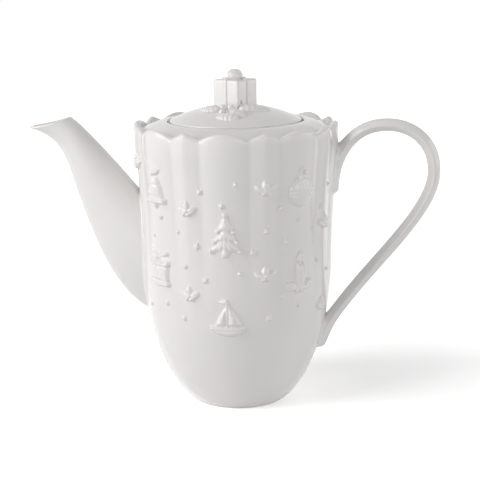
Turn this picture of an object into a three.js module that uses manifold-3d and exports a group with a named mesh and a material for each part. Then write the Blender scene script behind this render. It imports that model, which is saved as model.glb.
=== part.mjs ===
// Porcelain coffee pot with a lift-off lid.
// Millimetres, +Z up, the spout along -X and the handle along +X.
// The origin is the centre of the foot ring, on the table.
import * as THREE from "three";
import { mergeVertices } from "three/addons/utils/BufferGeometryUtils.js";
import Module from "manifold-3d";

const wasm = await Module();
wasm.setup();

// Fits
const JOINT_GAP = 0.3; // between pieces that are luted together
const LID_PLAY = 1.5; // round the lid in its seat
const FLANGE_PLAY = 1.2; // round the lid's flange in the mouth

// Body
const FOOT_RADIUS = 32.5;
const FOOT_RIM_WIDTH = 4;
const FOOT_RECESS = 3;
const FOOT_EDGE = 0.8;
const BOWL_HEIGHT = 90; // where the bowl turns into the upright wall
const BOWL_HEEL_OUT = 15; // pull of the bowl's curve at the foot
const BOWL_HEEL_UP = 13.5;
const BOWL_TURN_IN = 2.4; // pull of the bowl's curve at the wall
const BOWL_TURN_DOWN = 48;
const WALL_RADIUS = 62.2;
const WALL_FLARE = 4.2; // widening of the wall from the bowl to the collar
const RIM_Z = 184.5; // tops of the collar's lobes
const WALL_THICKNESS = 4;
const FLOOR_THICKNESS = 5;
const COLLAR_THICKNESS = 4.8;
const COLLAR_HEIGHT = 10; // plain stretch under the rolled rim
const RIM_ROLL = 2.4;

// Flutes of the wall and scallops of the rim
const FLUTE_COUNT = 8;
const ROUND_LOBE_SHARE = 0.6; // part of each flute that the round lobe takes, the ridge takes the rest
const FLUTE_DEPTH = 1.8;
const FLUTE_START_Z = 48;
const SCALLOP_DEPTH = 4.2;

// Lid seat
const GROOVE_DROP = 4.3; // groove behind the collar, below the lobes
const SHOULDER_RISE = 4.9;
const SHOULDER_LIP = 1.5;
const SHOULDER_PULL_IN = 5; // pulls of the shoulder's curve, at the groove and at the lip
const SHOULDER_PULL_UP = 2.6;
const SHOULDER_PULL_OUT = 4.5;
const MOUTH_RADIUS = 37.5;
const LEDGE_WIDTH = 6.5;
const LEDGE_DROP = 3.1; // below the shoulder's lip
const SEAT_THICKNESS = 4;

// Lid
const LID_EDGE = 3.7;
const LID_EDGE_ROUND = 1.3;
const LID_RISE = 9.3;
const LID_THICKNESS = 4;
const LID_VENT_RADIUS = 5;
const FLANGE_THICKNESS = 3.3;
const FLANGE_DEPTH = 16;

// Knob: a tied parcel
const KNOB_SIDE = 20.4;
const KNOB_RISE = 16;
const KNOB_WALL = 3;
const KNOB_TURN = THREE.MathUtils.degToRad(-31);
const VENT_RADIUS = 0.9;
const VENT_FROM_EDGE = 3.3;
const VENT_RISE = 2.4;
const RIBBON_WIDTH = 2.8;
const RIBBON_RAISE = 0.7;
const BOW_LOOP_LENGTH = 7.4;
const BOW_LOOP_WIDTH = 9.6;
const BOW_LOOP_HEIGHT = 5.6;
const BOW_KNOT_WIDTH = 3.2;
const BOW_KNOT_SINK = 1;
const BOW_LOOP_SINK = 0.6;
const BOW_LOOP_OVERLAP = 1; // of the two loops, under the knot
const BOW_TURN = THREE.MathUtils.degToRad(-80);

// Leaves and berries on the lid, a spray in front of the knob and one behind it
const SPRAY_OUT = 19.5; // middle of a spray, from the lid's axis
const SPRAY_SIDE = 3; // middle of a spray, to the side of the lid's axis
const LEAF_RAISE = 2.2;
const LEAF_HEADINGS = [170, 329, 22.5, 157.5];
const LEAF_RIGHTS = [8.5, 2.5, 7.8, -4.8]; // where each leaf starts, to the right of the spray's middle
const LEAF_BACKS = [-13.5, -3, 3.2, 2]; // the same, behind the spray's middle
const LEAF_LENGTHS = [14.2, 11.7, 20, 14];
const LEAF_WIDTHS = [6.8, 6.8, 8.2, 8.2];
const HIDDEN_LEAF_COUNT = 2; // the first leaves only make up the spray behind the knob
const BERRY_RADIUS = 1.9;
const BERRY_RIGHTS = [2.3, -3, -2.4]; // from the middle of the spray
const BERRY_BACKS = [2.5, 3.2, -5.2];

// Spout
const SPOUT_REACH = 74.5; // tip, beyond the wall
const SPOUT_TIP_DROP = 4; // tip, below the lobes
const SPOUT_MOUTH_LENGTH = 29.4;
const SPOUT_MOUTH_TILT = THREE.MathUtils.degToRad(13);
const SPOUT_FOOT_Z = 57.4;
const SPOUT_HEAD_DROP = 46.6; // top of the root, below the lobes
const SPOUT_NECK_OUT = 45;
const SPOUT_NECK_DROP = 42.6;
const SPOUT_ROOT_WIDTH = 36;
const SPOUT_NECK_WIDTH = 20;
const SPOUT_MOUTH_WIDTH = 16;
const SPOUT_WALL = 3.2;
const SPOUT_BEAK = 0.22; // how much narrower the mouth is at its tip than at its back
const SPOUT_BURY = 16; // length of the root inside the wall, before it is cut to fit
// Pulls of the spout's curves at their ends, outwards and up
const SPOUT_FOOT_PULL = [24.5, 12.5];
const SPOUT_NECK_LOWER_PULL = [-12, -38];
const SPOUT_NECK_UPPER_PULL = [5.2, 18];
const SPOUT_TIP_PULL = [-21.6, -7.2];
const SPOUT_HEAD_PULL = [12, 16];
const SPOUT_BACK_PULL = [-13, -12.4];

// Handle
const HANDLE_THICKNESS = 8.3;
const HANDLE_WIDTH = 12;
const HANDLE_REACH = 65.2; // middle of the strap, beyond the wall
const HANDLE_REACH_DROP = 32; // where it stands out farthest, below the lobes
const HANDLE_CREST_OUT = 35;
const HANDLE_CREST_DROP = 2.6;
const HANDLE_TAIL_DROP = 43.5; // end of the upper root, below the lobes
const HANDLE_TAIL_SINK = 1.3;
const HANDLE_LANDING_Z = 55.6; // where the lower limb comes to the wall
const HANDLE_LANDING_OUT = 1.2;
const HANDLE_FOOT_Z = 37.6;
const HANDLE_FOOT_OUT = 0.6;
const HANDLE_ROUNDING = 0.8; // power of the strap's section, where 1 is an ellipse
// Pulls of the handle's bends at their ends, outwards and up
const HANDLE_TAIL_PULL = [0.6, 21];
const HANDLE_CREST_INNER_PULL = [-22.5, 0];
const HANDLE_CREST_OUTER_PULL = [17.2, 0];
const HANDLE_FAR_UPPER_PULL = [0, 17.5];
const HANDLE_FAR_LOWER_PULL = [0.8, -26.5];
const HANDLE_LANDING_UPPER_PULL = [25, 37.5];
const HANDLE_LANDING_LOWER_PULL = [-4, -5.4];
const HANDLE_FOOT_PULL = [2.6, 5.4];

// Applied relief
const RELIEF_HIGH = 2.5;
const RELIEF_MIDDLE = 2;
const RELIEF_LOW = 1.5;
const RELIEF_TOP_ROW_DROP = 36; // below the lobes
const RELIEF_ROW_PITCH = 27;
const MOTIF_STEP = 1.3; // one step of the grid that the motifs are drawn on
const SPRIG_STEP = 1; // the same for the sprigs

// Fineness of the facets
const FLUTE_STEPS = 10;
const BOWL_STEPS = 7;
const WALL_STEPS = 3;
const ROUND_SEGMENTS = 48;
const CURVE_SEGMENTS = 4;
const RELIEF_SEGMENTS = 4;
const BALL_SIDES = 8;
const BALL_RINGS = 5;
const SPOUT_SIDES = 18;
const SPOUT_STEPS = 12;
const HANDLE_SIDES = 12;
const HANDLE_STEPS = 7;

// Heights and radii that follow from the sizes above
const COLLAR_RADIUS = WALL_RADIUS + WALL_FLARE;
const COLLAR_Z = RIM_Z - SCALLOP_DEPTH - COLLAR_HEIGHT;
const GROOVE_Z = RIM_Z - GROOVE_DROP;
const LIP_Z = GROOVE_Z + SHOULDER_RISE;
const LEDGE_Z = LIP_Z - LEDGE_DROP;
const SEAT_RING_RADIUS = COLLAR_RADIUS - COLLAR_THICKNESS - FLUTE_DEPTH - JOINT_GAP;
const SEAT_RADIUS = MOUTH_RADIUS + LEDGE_WIDTH;
const LID_RADIUS = SEAT_RADIUS - LID_PLAY;
const LID_FOOT_Z = LEDGE_Z + JOINT_GAP;
const LID_EDGE_Z = LID_FOOT_Z + LID_EDGE;
const LID_TOP_Z = LID_EDGE_Z + LID_RISE;
const FLANGE_RADIUS = MOUTH_RADIUS - FLANGE_PLAY;
const FLANGE_BORE = FLANGE_RADIUS - FLANGE_THICKNESS;
const KNOB_TOP_Z = LID_TOP_Z + KNOB_RISE;

const UP = new THREE.Vector3(0, 0, 1);
const TURN = Math.PI * 2;

const porcelain = new THREE.MeshStandardMaterial({ color: 0xf0eeeb, roughness: 0.16, metalness: 0 });
const pot = new THREE.Group();

// Solids and meshes

function toSolid(geometry) {
  const bare = geometry.clone();
  bare.deleteAttribute("normal");
  bare.deleteAttribute("uv");
  const merged = mergeVertices(bare);
  return new wasm.Manifold(
    new wasm.Mesh({
      numProp: 3,
      vertProperties: merged.attributes.position.array,
      triVerts: new Uint32Array(merged.index.array),
    }),
  );
}

function addPiece(name, solid) {
  const mesh = solid.getMesh();
  const geometry = new THREE.BufferGeometry();
  geometry.setAttribute("position", new THREE.BufferAttribute(mesh.vertProperties, 3));
  geometry.setIndex(new THREE.BufferAttribute(mesh.triVerts, 1));
  geometry.computeVertexNormals();
  const piece = new THREE.Mesh(geometry, porcelain);
  piece.name = name;
  pot.add(piece);
}

// A closed skin over a row of rings with equal numbers of points, with a flat end at each end.
function skin(rings) {
  const sides = rings[0].length;
  const points = rings.flat();
  const triangles = [];
  for (let ring = 0; ring + 1 < rings.length; ring += 1) {
    for (let side = 0; side < sides; side += 1) {
      const here = ring * sides + side;
      const next = ring * sides + ((side + 1) % sides);
      triangles.push(here, next, next + sides, here, next + sides, here + sides);
    }
  }
  const last = (rings.length - 1) * sides;
  const startCentre = points.push(centreOf(rings[0])) - 1;
  const endCentre = points.push(centreOf(rings.at(-1))) - 1;
  for (let side = 0; side < sides; side += 1) {
    const next = (side + 1) % sides;
    triangles.push(startCentre, next, side);
    triangles.push(endCentre, last + side, last + next);
  }
  const geometry = new THREE.BufferGeometry().setFromPoints(points);
  geometry.setIndex(triangles);
  return toSolid(geometry);
}

function centreOf(ring) {
  const sum = new THREE.Vector3();
  for (const point of ring) {
    sum.add(point);
  }
  return sum.divideScalar(ring.length);
}

// A ring turned about Z from an outline that runs anticlockwise in radius and height.
function turned(outline) {
  const closed = [...outline, outline[0]];
  return toSolid(new THREE.LatheGeometry(closed, ROUND_SEGMENTS).rotateX(Math.PI / 2));
}

function at(radius, height) {
  return new THREE.Vector2(radius, height);
}

// Pot body

// The wave of the flutes: 1 along each lobe and ridge, 0 in the valleys between them.
function wave(angle) {
  const flute = TURN / FLUTE_COUNT;
  const lobe = (flute / 2) * ROUND_LOBE_SHARE;
  const offset = Math.abs(angle - Math.round(angle / flute) * flute);
  if (offset <= lobe) {
    return 1 - (offset / lobe) ** 2;
  }
  return (offset - lobe) / (flute / 2 - lobe);
}

function fluteDepth(height) {
  return FLUTE_DEPTH * THREE.MathUtils.smoothstep(height, FLUTE_START_Z, COLLAR_Z);
}

const bowlCurve = new THREE.CubicBezierCurve(
  at(FOOT_RADIUS, 0),
  at(FOOT_RADIUS + BOWL_HEEL_OUT, BOWL_HEEL_UP),
  at(WALL_RADIUS - BOWL_TURN_IN, BOWL_HEIGHT - BOWL_TURN_DOWN),
  at(WALL_RADIUS, BOWL_HEIGHT),
);

// Outline of the outside over the lobes, from the foot to the collar.
function outsideOutline() {
  const outline = bowlCurve.getPoints(BOWL_STEPS);
  for (let step = 1; step <= WALL_STEPS; step += 1) {
    const share = step / WALL_STEPS;
    const height = THREE.MathUtils.lerp(BOWL_HEIGHT, COLLAR_Z, share);
    outline.push(at(WALL_RADIUS + WALL_FLARE * share ** 2, height));
  }
  return outline;
}

function outsideRadius(height) {
  const outline = outsideOutline();
  const above = outline.findIndex((point) => point.y >= height);
  const low = outline[Math.max(above - 1, 0)];
  const high = outline[above];
  return THREE.MathUtils.mapLinear(height, low.y, high.y, low.x, high.x);
}

// One ring of the body; dip and drop are how far the valleys lie inside and below the lobes.
function bodyRing(radius, height, dip = 0, drop = 0) {
  const ring = [];
  const count = FLUTE_COUNT * FLUTE_STEPS;
  for (let step = 0; step < count; step += 1) {
    const angle = (step / count) * TURN;
    const valley = 1 - wave(angle);
    const reach = radius - dip * valley;
    ring.push(new THREE.Vector3(reach * Math.cos(angle), reach * Math.sin(angle), height - drop * valley));
  }
  return ring;
}

function outsideRings(offset) {
  return outsideOutline().map((point) => bodyRing(point.x + offset, point.y, fluteDepth(point.y)));
}

// Everything inside the outer surface, grown sideways, to cut the pieces that are luted on.
function bodyEnvelope(growth) {
  const top = bodyRing(COLLAR_RADIUS + growth, RIM_Z, FLUTE_DEPTH);
  return skin([...outsideRings(growth), top]);
}

const fittedBody = bodyEnvelope(JOINT_GAP);

function buildBody() {
  const rimOuter = COLLAR_RADIUS;
  const rimInner = COLLAR_RADIUS - COLLAR_THICKNESS;
  const rimMiddle = (rimOuter + rimInner) / 2;
  const rimEdge = RIM_ROLL * (1 - Math.SQRT1_2);
  const foot = [
    bodyRing(FOOT_RADIUS - FOOT_RIM_WIDTH, FOOT_RECESS),
    bodyRing(FOOT_RADIUS - FOOT_RIM_WIDTH, 0),
    bodyRing(FOOT_RADIUS - FOOT_EDGE, 0),
  ];
  const rim = [
    bodyRing(rimOuter, RIM_Z - RIM_ROLL, FLUTE_DEPTH, SCALLOP_DEPTH),
    bodyRing(rimOuter - rimEdge, RIM_Z - rimEdge, FLUTE_DEPTH, SCALLOP_DEPTH),
    bodyRing(rimMiddle, RIM_Z, FLUTE_DEPTH, SCALLOP_DEPTH),
    bodyRing(rimInner + rimEdge, RIM_Z - rimEdge, FLUTE_DEPTH, SCALLOP_DEPTH),
    bodyRing(rimInner, RIM_Z - RIM_ROLL, FLUTE_DEPTH, SCALLOP_DEPTH),
    bodyRing(rimInner, COLLAR_Z, FLUTE_DEPTH),
  ];
  const inside = outsideOutline()
    .filter((point) => point.y > FLOOR_THICKNESS + FOOT_RECESS && point.y < COLLAR_Z)
    .map((point) => bodyRing(point.x - fluteDepth(point.y) - WALL_THICKNESS, point.y))
    .reverse();
  const floor = bodyRing(FOOT_RADIUS, FLOOR_THICKNESS + FOOT_RECESS);
  const [, ...outside] = outsideRings(0);
  const heel = bodyRing(FOOT_RADIUS, FOOT_EDGE);
  return skin([...foot, heel, ...outside, ...rim, ...inside, floor]);
}

// Spout: sections between the underside and the upper side, both in the plane of the pot's axis

// A curve between two points, pulled outwards and up at each end; outwards is +X or -X.
function bend(from, leave, arrive, to, outwards) {
  const first = from.clone().add(new THREE.Vector3(outwards * leave[0], 0, leave[1]));
  const second = to.clone().add(new THREE.Vector3(outwards * arrive[0], 0, arrive[1]));
  return new THREE.CubicBezierCurve3(from, first, second, to);
}

function sidePoint(out, height) {
  return new THREE.Vector3(-WALL_RADIUS - out, 0, height);
}

function spoutEdges() {
  const tip = sidePoint(SPOUT_REACH, RIM_Z - SPOUT_TIP_DROP);
  const back = tip.clone();
  back.x += SPOUT_MOUTH_LENGTH * Math.cos(SPOUT_MOUTH_TILT);
  back.z += SPOUT_MOUTH_LENGTH * Math.sin(SPOUT_MOUTH_TILT);
  const neck = sidePoint(SPOUT_NECK_OUT, RIM_Z - SPOUT_NECK_DROP);
  const foot = sidePoint(outsideRadius(SPOUT_FOOT_Z) - WALL_RADIUS, SPOUT_FOOT_Z);
  const headZ = RIM_Z - SPOUT_HEAD_DROP;
  const head = sidePoint(outsideRadius(headZ) - WALL_RADIUS, headZ);
  const under = new THREE.CurvePath();
  under.add(bend(foot, SPOUT_FOOT_PULL, SPOUT_NECK_LOWER_PULL, neck, -1));
  under.add(bend(neck, SPOUT_NECK_UPPER_PULL, SPOUT_TIP_PULL, tip, -1));
  const upper = bend(head, SPOUT_HEAD_PULL, SPOUT_BACK_PULL, back, -1);
  return { under, upper };
}

// Sections of the spout, thinner by inset, from inside the wall to the mouth and past it.
function spoutSections(inset, pastMouth) {
  const { under, upper } = spoutEdges();
  const sections = [];
  for (let step = 0; step <= SPOUT_STEPS; step += 1) {
    const share = step / SPOUT_STEPS;
    const low = under.getPoint(share);
    const high = upper.getPoint(share);
    const rootToNeck = THREE.MathUtils.lerp(SPOUT_ROOT_WIDTH, SPOUT_NECK_WIDTH, share);
    const neckToMouth = THREE.MathUtils.lerp(SPOUT_NECK_WIDTH, SPOUT_MOUTH_WIDTH, share);
    const width = THREE.MathUtils.lerp(rootToNeck, neckToMouth, share);
    sections.push(spoutSection(low, high, width / 2, inset));
  }
  const inward = new THREE.Vector3(SPOUT_BURY, 0, -SPOUT_BURY / 2);
  sections.unshift(sections[0].map((point) => point.clone().add(inward)));
  if (pastMouth) {
    const outward = new THREE.Vector3(-Math.sin(SPOUT_MOUTH_TILT), 0, Math.cos(SPOUT_MOUTH_TILT));
    sections.push(sections.at(-1).map((point) => point.clone().addScaledVector(outward, pastMouth)));
  }
  return sections;
}

function spoutSection(low, high, halfWidth, inset) {
  const centre = low.clone().add(high).divideScalar(2);
  const across = high.clone().sub(centre);
  const reach = across.length();
  const ring = [];
  for (let side = 0; side < SPOUT_SIDES; side += 1) {
    const angle = (side / SPOUT_SIDES) * TURN;
    const along = Math.cos(angle);
    const width = (halfWidth - inset) * Math.sin(angle) * (1 + SPOUT_BEAK * along);
    const point = centre.clone().addScaledVector(across, (along * (reach - inset)) / reach);
    ring.push(point.setY(width));
  }
  return ring;
}

// Handle: a strap with rounded ends that follows a path in the plane of the pot's axis

function handlePath() {
  const tailZ = RIM_Z - HANDLE_TAIL_DROP;
  const tail = new THREE.Vector3(outsideRadius(tailZ) - HANDLE_TAIL_SINK, 0, tailZ);
  const crest = new THREE.Vector3(WALL_RADIUS + HANDLE_CREST_OUT, 0, RIM_Z - HANDLE_CREST_DROP);
  const far = new THREE.Vector3(WALL_RADIUS + HANDLE_REACH, 0, RIM_Z - HANDLE_REACH_DROP);
  const landing = new THREE.Vector3(WALL_RADIUS + HANDLE_LANDING_OUT, 0, HANDLE_LANDING_Z);
  const foot = new THREE.Vector3(outsideRadius(HANDLE_FOOT_Z) + HANDLE_FOOT_OUT, 0, HANDLE_FOOT_Z);
  const path = new THREE.CurvePath();
  path.add(bend(tail, HANDLE_TAIL_PULL, HANDLE_CREST_INNER_PULL, crest, 1));
  path.add(bend(crest, HANDLE_CREST_OUTER_PULL, HANDLE_FAR_UPPER_PULL, far, 1));
  path.add(bend(far, HANDLE_FAR_LOWER_PULL, HANDLE_LANDING_UPPER_PULL, landing, 1));
  path.add(bend(landing, HANDLE_LANDING_LOWER_PULL, HANDLE_FOOT_PULL, foot, 1));
  return path;
}

function strapSection(centre, tangent, scale) {
  const flat = new THREE.Vector3(0, 1, 0);
  const normal = tangent.clone().cross(flat);
  const ring = [];
  for (let side = 0; side < HANDLE_SIDES; side += 1) {
    const angle = (side / HANDLE_SIDES) * TURN;
    const across = Math.sign(Math.cos(angle)) * Math.abs(Math.cos(angle)) ** HANDLE_ROUNDING;
    const through = Math.sign(Math.sin(angle)) * Math.abs(Math.sin(angle)) ** HANDLE_ROUNDING;
    const point = centre.clone();
    point.addScaledVector(flat, (scale * across * HANDLE_WIDTH) / 2);
    point.addScaledVector(normal, (scale * through * HANDLE_THICKNESS) / 2);
    ring.push(point);
  }
  return ring;
}

function buildHandle() {
  const path = handlePath();
  const count = path.curves.length * HANDLE_STEPS;
  const rings = [];
  for (let step = 0; step <= count; step += 1) {
    rings.push(strapSection(path.getPoint(step / count), path.getTangent(step / count), 1));
  }
  for (const [share, place] of [[0, "unshift"], [1, "push"]]) {
    const tangent = path.getTangent(share);
    const outward = share === 0 ? -1 : 1;
    for (const angle of [Math.PI / 6, Math.PI / 3]) {
      const beyond = (outward * Math.sin(angle) * HANDLE_THICKNESS) / 2;
      const centre = path.getPoint(share).addScaledVector(tangent, beyond);
      rings[place](strapSection(centre, tangent, Math.cos(angle)));
    }
  }
  return skin(rings);
}

// Lid seat and lid

function buildSeatRing() {
  const slope = new THREE.CubicBezierCurve(
    at(SEAT_RING_RADIUS, GROOVE_Z),
    at(SEAT_RING_RADIUS - SHOULDER_PULL_IN, GROOVE_Z + SHOULDER_PULL_UP),
    at(SEAT_RADIUS + SHOULDER_LIP + SHOULDER_PULL_OUT, LIP_Z),
    at(SEAT_RADIUS + SHOULDER_LIP, LIP_Z),
  );
  const underZ = LEDGE_Z - SEAT_THICKNESS;
  return turned([
    at(MOUTH_RADIUS, underZ),
    at(SEAT_RADIUS, underZ),
    at(SEAT_RING_RADIUS, GROOVE_Z - SEAT_THICKNESS),
    ...slope.getPoints(CURVE_SEGMENTS),
    at(SEAT_RADIUS, LIP_Z - SHOULDER_LIP),
    at(SEAT_RADIUS, LEDGE_Z),
    at(MOUTH_RADIUS, LEDGE_Z),
  ]);
}

// Height of the lid's dome, raised by a clearance, at a distance from its axis.
function domeHeight(radius, clearance) {
  const span = LID_RADIUS - LID_EDGE_ROUND;
  const ball = (span ** 2 + LID_RISE ** 2) / (2 * LID_RISE);
  return LID_TOP_Z + clearance - ball + Math.sqrt(ball ** 2 - radius ** 2);
}

function domePoints(fromRadius, toRadius, clearance) {
  const points = [];
  for (let step = 0; step <= CURVE_SEGMENTS; step += 1) {
    const radius = THREE.MathUtils.lerp(fromRadius, toRadius, step / CURVE_SEGMENTS);
    points.push(at(radius, domeHeight(radius, clearance)));
  }
  return points;
}

function buildLidCover() {
  const span = LID_RADIUS - LID_EDGE_ROUND;
  return turned([
    at(FLANGE_BORE, LID_FOOT_Z),
    at(LID_RADIUS, LID_FOOT_Z),
    at(LID_RADIUS, LID_EDGE_Z - LID_EDGE_ROUND),
    ...domePoints(span, LID_VENT_RADIUS, 0),
    ...domePoints(LID_VENT_RADIUS, FLANGE_BORE, -LID_THICKNESS),
  ]);
}

function buildFlange() {
  const top = LID_FOOT_Z - JOINT_GAP;
  return turned([
    at(FLANGE_BORE, top - FLANGE_DEPTH),
    at(FLANGE_RADIUS, top - FLANGE_DEPTH),
    at(FLANGE_RADIUS, top),
    at(FLANGE_BORE, top),
  ]);
}

// The lid's outside, raised by a clearance, closed below: cuts the pieces that stand on the dome.
function lidEnvelope(clearance) {
  const span = LID_RADIUS - LID_EDGE_ROUND;
  const dome = domePoints(span, 0, clearance);
  const profile = [at(0, LID_FOOT_Z), at(span, LID_FOOT_Z), ...dome];
  return toSolid(new THREE.LatheGeometry(profile, ROUND_SEGMENTS).rotateX(Math.PI / 2));
}

const fittedDome = lidEnvelope(JOINT_GAP);

// A box on the knob's axis, turned with the knob, from inside the lid up to a height.
function knobBlock(length, width, fromZ, toZ) {
  const block = new THREE.BoxGeometry(length, width, toZ - fromZ);
  block.translate(0, 0, (fromZ + toZ) / 2).rotateZ(KNOB_TURN);
  return toSolid(block);
}

function parcelEnvelope(growth) {
  const side = KNOB_SIDE + 2 * growth;
  return knobBlock(side, side, LID_FOOT_Z, KNOB_TOP_Z + growth);
}

const fittedParcel = parcelEnvelope(JOINT_GAP);

function buildParcel() {
  const hollow = KNOB_SIDE - 2 * KNOB_WALL;
  const inside = knobBlock(hollow, hollow, LID_FOOT_Z, KNOB_TOP_Z - KNOB_WALL);
  const vent = new THREE.CylinderGeometry(VENT_RADIUS, VENT_RADIUS, 2 * KNOB_WALL, BALL_SIDES);
  vent.rotateZ(Math.PI / 2);
  const ventZ = domeHeight(KNOB_SIDE / 2, 0) + VENT_RISE;
  vent.translate(KNOB_SIDE / 2, VENT_FROM_EDGE - KNOB_SIDE / 2, ventZ).rotateZ(KNOB_TURN);
  return parcelEnvelope(0).subtract(inside).subtract(fittedDome).subtract(toSolid(vent));
}

function buildRibbon() {
  const length = KNOB_SIDE + 2 * (JOINT_GAP + RIBBON_RAISE);
  const topZ = KNOB_TOP_Z + JOINT_GAP + RIBBON_RAISE;
  const one = knobBlock(length, RIBBON_WIDTH, LID_FOOT_Z, topZ);
  const other = knobBlock(RIBBON_WIDTH, length, LID_FOOT_Z, topZ);
  return one.add(other).subtract(fittedParcel).subtract(fittedDome);
}

const BOW_Z = KNOB_TOP_Z + 2 * JOINT_GAP + RIBBON_RAISE;

function ball(length, width, height) {
  const sphere = new THREE.SphereGeometry(0.5, BALL_SIDES, BALL_RINGS);
  return sphere.rotateX(Math.PI / 2).scale(length, width, height);
}

function aboveBow(solid) {
  const under = new THREE.BoxGeometry(KNOB_SIDE, KNOB_SIDE, KNOB_RISE);
  under.translate(0, 0, BOW_Z - KNOB_RISE / 2);
  return solid.subtract(toSolid(under));
}

function buildBowKnot(growth) {
  const knot = ball(BOW_KNOT_WIDTH + 2 * growth, BOW_LOOP_WIDTH + 2 * growth, BOW_LOOP_HEIGHT + 2 * growth);
  knot.rotateZ(BOW_TURN).translate(0, 0, BOW_Z + BOW_LOOP_HEIGHT / 2 - BOW_KNOT_SINK);
  return aboveBow(toSolid(knot));
}

function buildBowLoop(side) {
  const loop = ball(BOW_LOOP_LENGTH, BOW_LOOP_WIDTH, BOW_LOOP_HEIGHT);
  const middle = (side * (BOW_LOOP_LENGTH - BOW_LOOP_OVERLAP)) / 2;
  const height = BOW_Z + BOW_LOOP_HEIGHT / 2 - BOW_LOOP_SINK;
  loop.translate(middle, 0, 0).rotateZ(BOW_TURN).translate(0, 0, height);
  return aboveBow(toSolid(loop)).subtract(buildBowKnot(JOINT_GAP));
}

// Outlines in millimetres, across and up from the middle of a motif

function leafShape(x, y, angle, length, width) {
  const along = at(Math.cos(angle), Math.sin(angle));
  const side = at(-along.y, along.x);
  const place = (share, offset) =>
    at(x + along.x * length * share + side.x * offset, y + along.y * length * share + side.y * offset);
  const shape = new THREE.Shape();
  const start = place(0, 0);
  const tip = place(1, 0);
  const left = place(0.45, width);
  const right = place(0.45, -width);
  shape.moveTo(start.x, start.y);
  shape.quadraticCurveTo(right.x, right.y, tip.x, tip.y);
  shape.quadraticCurveTo(left.x, left.y, start.x, start.y);
  return shape;
}

function discShape(x, y, radius) {
  return new THREE.Shape().absarc(x, y, radius, 0, TURN);
}

function plateShape(x, y, width, height) {
  const plate = [at(x - width / 2, y - height / 2), at(x + width / 2, y - height / 2)];
  plate.push(at(x + width / 2, y + height / 2), at(x - width / 2, y + height / 2));
  return new THREE.Shape(plate);
}

function barShape(length, width, angle) {
  const turn = (x, y) => at(x, y).rotateAround(at(0, 0), angle);
  const reach = length / 2;
  const half = width / 2;
  return new THREE.Shape([turn(-reach, -half), turn(reach, -half), turn(reach, half), turn(-reach, half)]);
}

function triangleShape(x, y, width, height) {
  return new THREE.Shape([at(x - width / 2, y), at(x + width / 2, y), at(x, y + height)]);
}

// Leaves and berries

function solidLeaf(shape) {
  const prism = new THREE.ExtrudeGeometry(shape, {
    depth: LID_TOP_Z - LID_FOOT_Z + LEAF_RAISE,
    bevelEnabled: false,
    curveSegments: CURVE_SEGMENTS,
  });
  prism.translate(0, 0, LID_FOOT_Z);
  return toSolid(prism);
}

function addSpray(side, turn, leafCount) {
  const raised = lidEnvelope(JOINT_GAP + LEAF_RAISE);
  const spot = (right, back) => at(right - SPRAY_SIDE, back - SPRAY_OUT).rotateAround(at(0, 0), turn);
  LEAF_HEADINGS.slice(0, leafCount).forEach((degrees, index) => {
    const angle = THREE.MathUtils.degToRad(degrees) + turn;
    const { x, y } = spot(LEAF_RIGHTS[index], LEAF_BACKS[index]);
    const prism = solidLeaf(leafShape(x, y, angle, LEAF_LENGTHS[index], LEAF_WIDTHS[index]));
    addPiece(`leaf_${side}_${index + 1}`, prism.intersect(raised).subtract(fittedDome));
  });
  BERRY_RIGHTS.forEach((right, index) => {
    const { x, y } = spot(right, BERRY_BACKS[index]);
    const berry = ball(2 * BERRY_RADIUS, 2 * BERRY_RADIUS, 2 * BERRY_RADIUS);
    berry.translate(x, y, domeHeight(Math.hypot(x, y), JOINT_GAP) + BERRY_RADIUS / 2);
    addPiece(`berry_${side}_${index + 1}`, toSolid(berry).subtract(fittedDome).subtract(fittedParcel));
  });
}

// Relief motifs: outlines in steps of a drawing grid, each with the height that it stands off the wall

function bell() {
  const body = new THREE.Shape();
  body.moveTo(-7, -6).lineTo(7, -6);
  body.bezierCurveTo(4.4, -3.4, 5.2, 5.5, 0, 6.5);
  body.bezierCurveTo(-5.2, 5.5, -4.4, -3.4, -7, -6);
  return [
    [body, RELIEF_MIDDLE],
    [plateShape(0, -6, 15, 2.4), RELIEF_HIGH],
    [discShape(0, -8.2, 1.7), RELIEF_MIDDLE],
    [discShape(0, 7.4, 1.6), RELIEF_LOW],
  ];
}

function bauble() {
  return [
    [discShape(0, -1.5, 7), RELIEF_MIDDLE],
    [plateShape(0, -1.5, 13.2, 3), RELIEF_HIGH],
    [plateShape(0, 6.3, 4.2, 2.8), RELIEF_HIGH],
    [discShape(0, 8.6, 1.6), RELIEF_LOW],
  ];
}

function tree() {
  return [
    [triangleShape(0, -7, 15, 8), RELIEF_LOW],
    [triangleShape(0, -2.5, 12, 7.5), RELIEF_MIDDLE],
    [triangleShape(0, 2.5, 8.6, 7.5), RELIEF_HIGH],
    [plateShape(0, -8, 3, 3), RELIEF_MIDDLE],
  ];
}

function candle() {
  return [
    [plateShape(0, -0.5, 4.6, 11), RELIEF_MIDDLE],
    [leafShape(0, 4.6, Math.PI / 2, 6, 3.4), RELIEF_HIGH],
    [plateShape(0, -6.6, 11, 2.4), RELIEF_HIGH],
    [leafShape(1, -7, 0.3, 8.5, 4), RELIEF_LOW],
    [leafShape(-1, -7, Math.PI - 0.3, 8.5, 4), RELIEF_LOW],
  ];
}

function drum() {
  return [
    [plateShape(0, 0, 13, 9), RELIEF_LOW],
    [plateShape(0, 4.6, 14.4, 2.4), RELIEF_HIGH],
    [plateShape(0, -4.6, 14.4, 2.4), RELIEF_HIGH],
  ];
}

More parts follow.
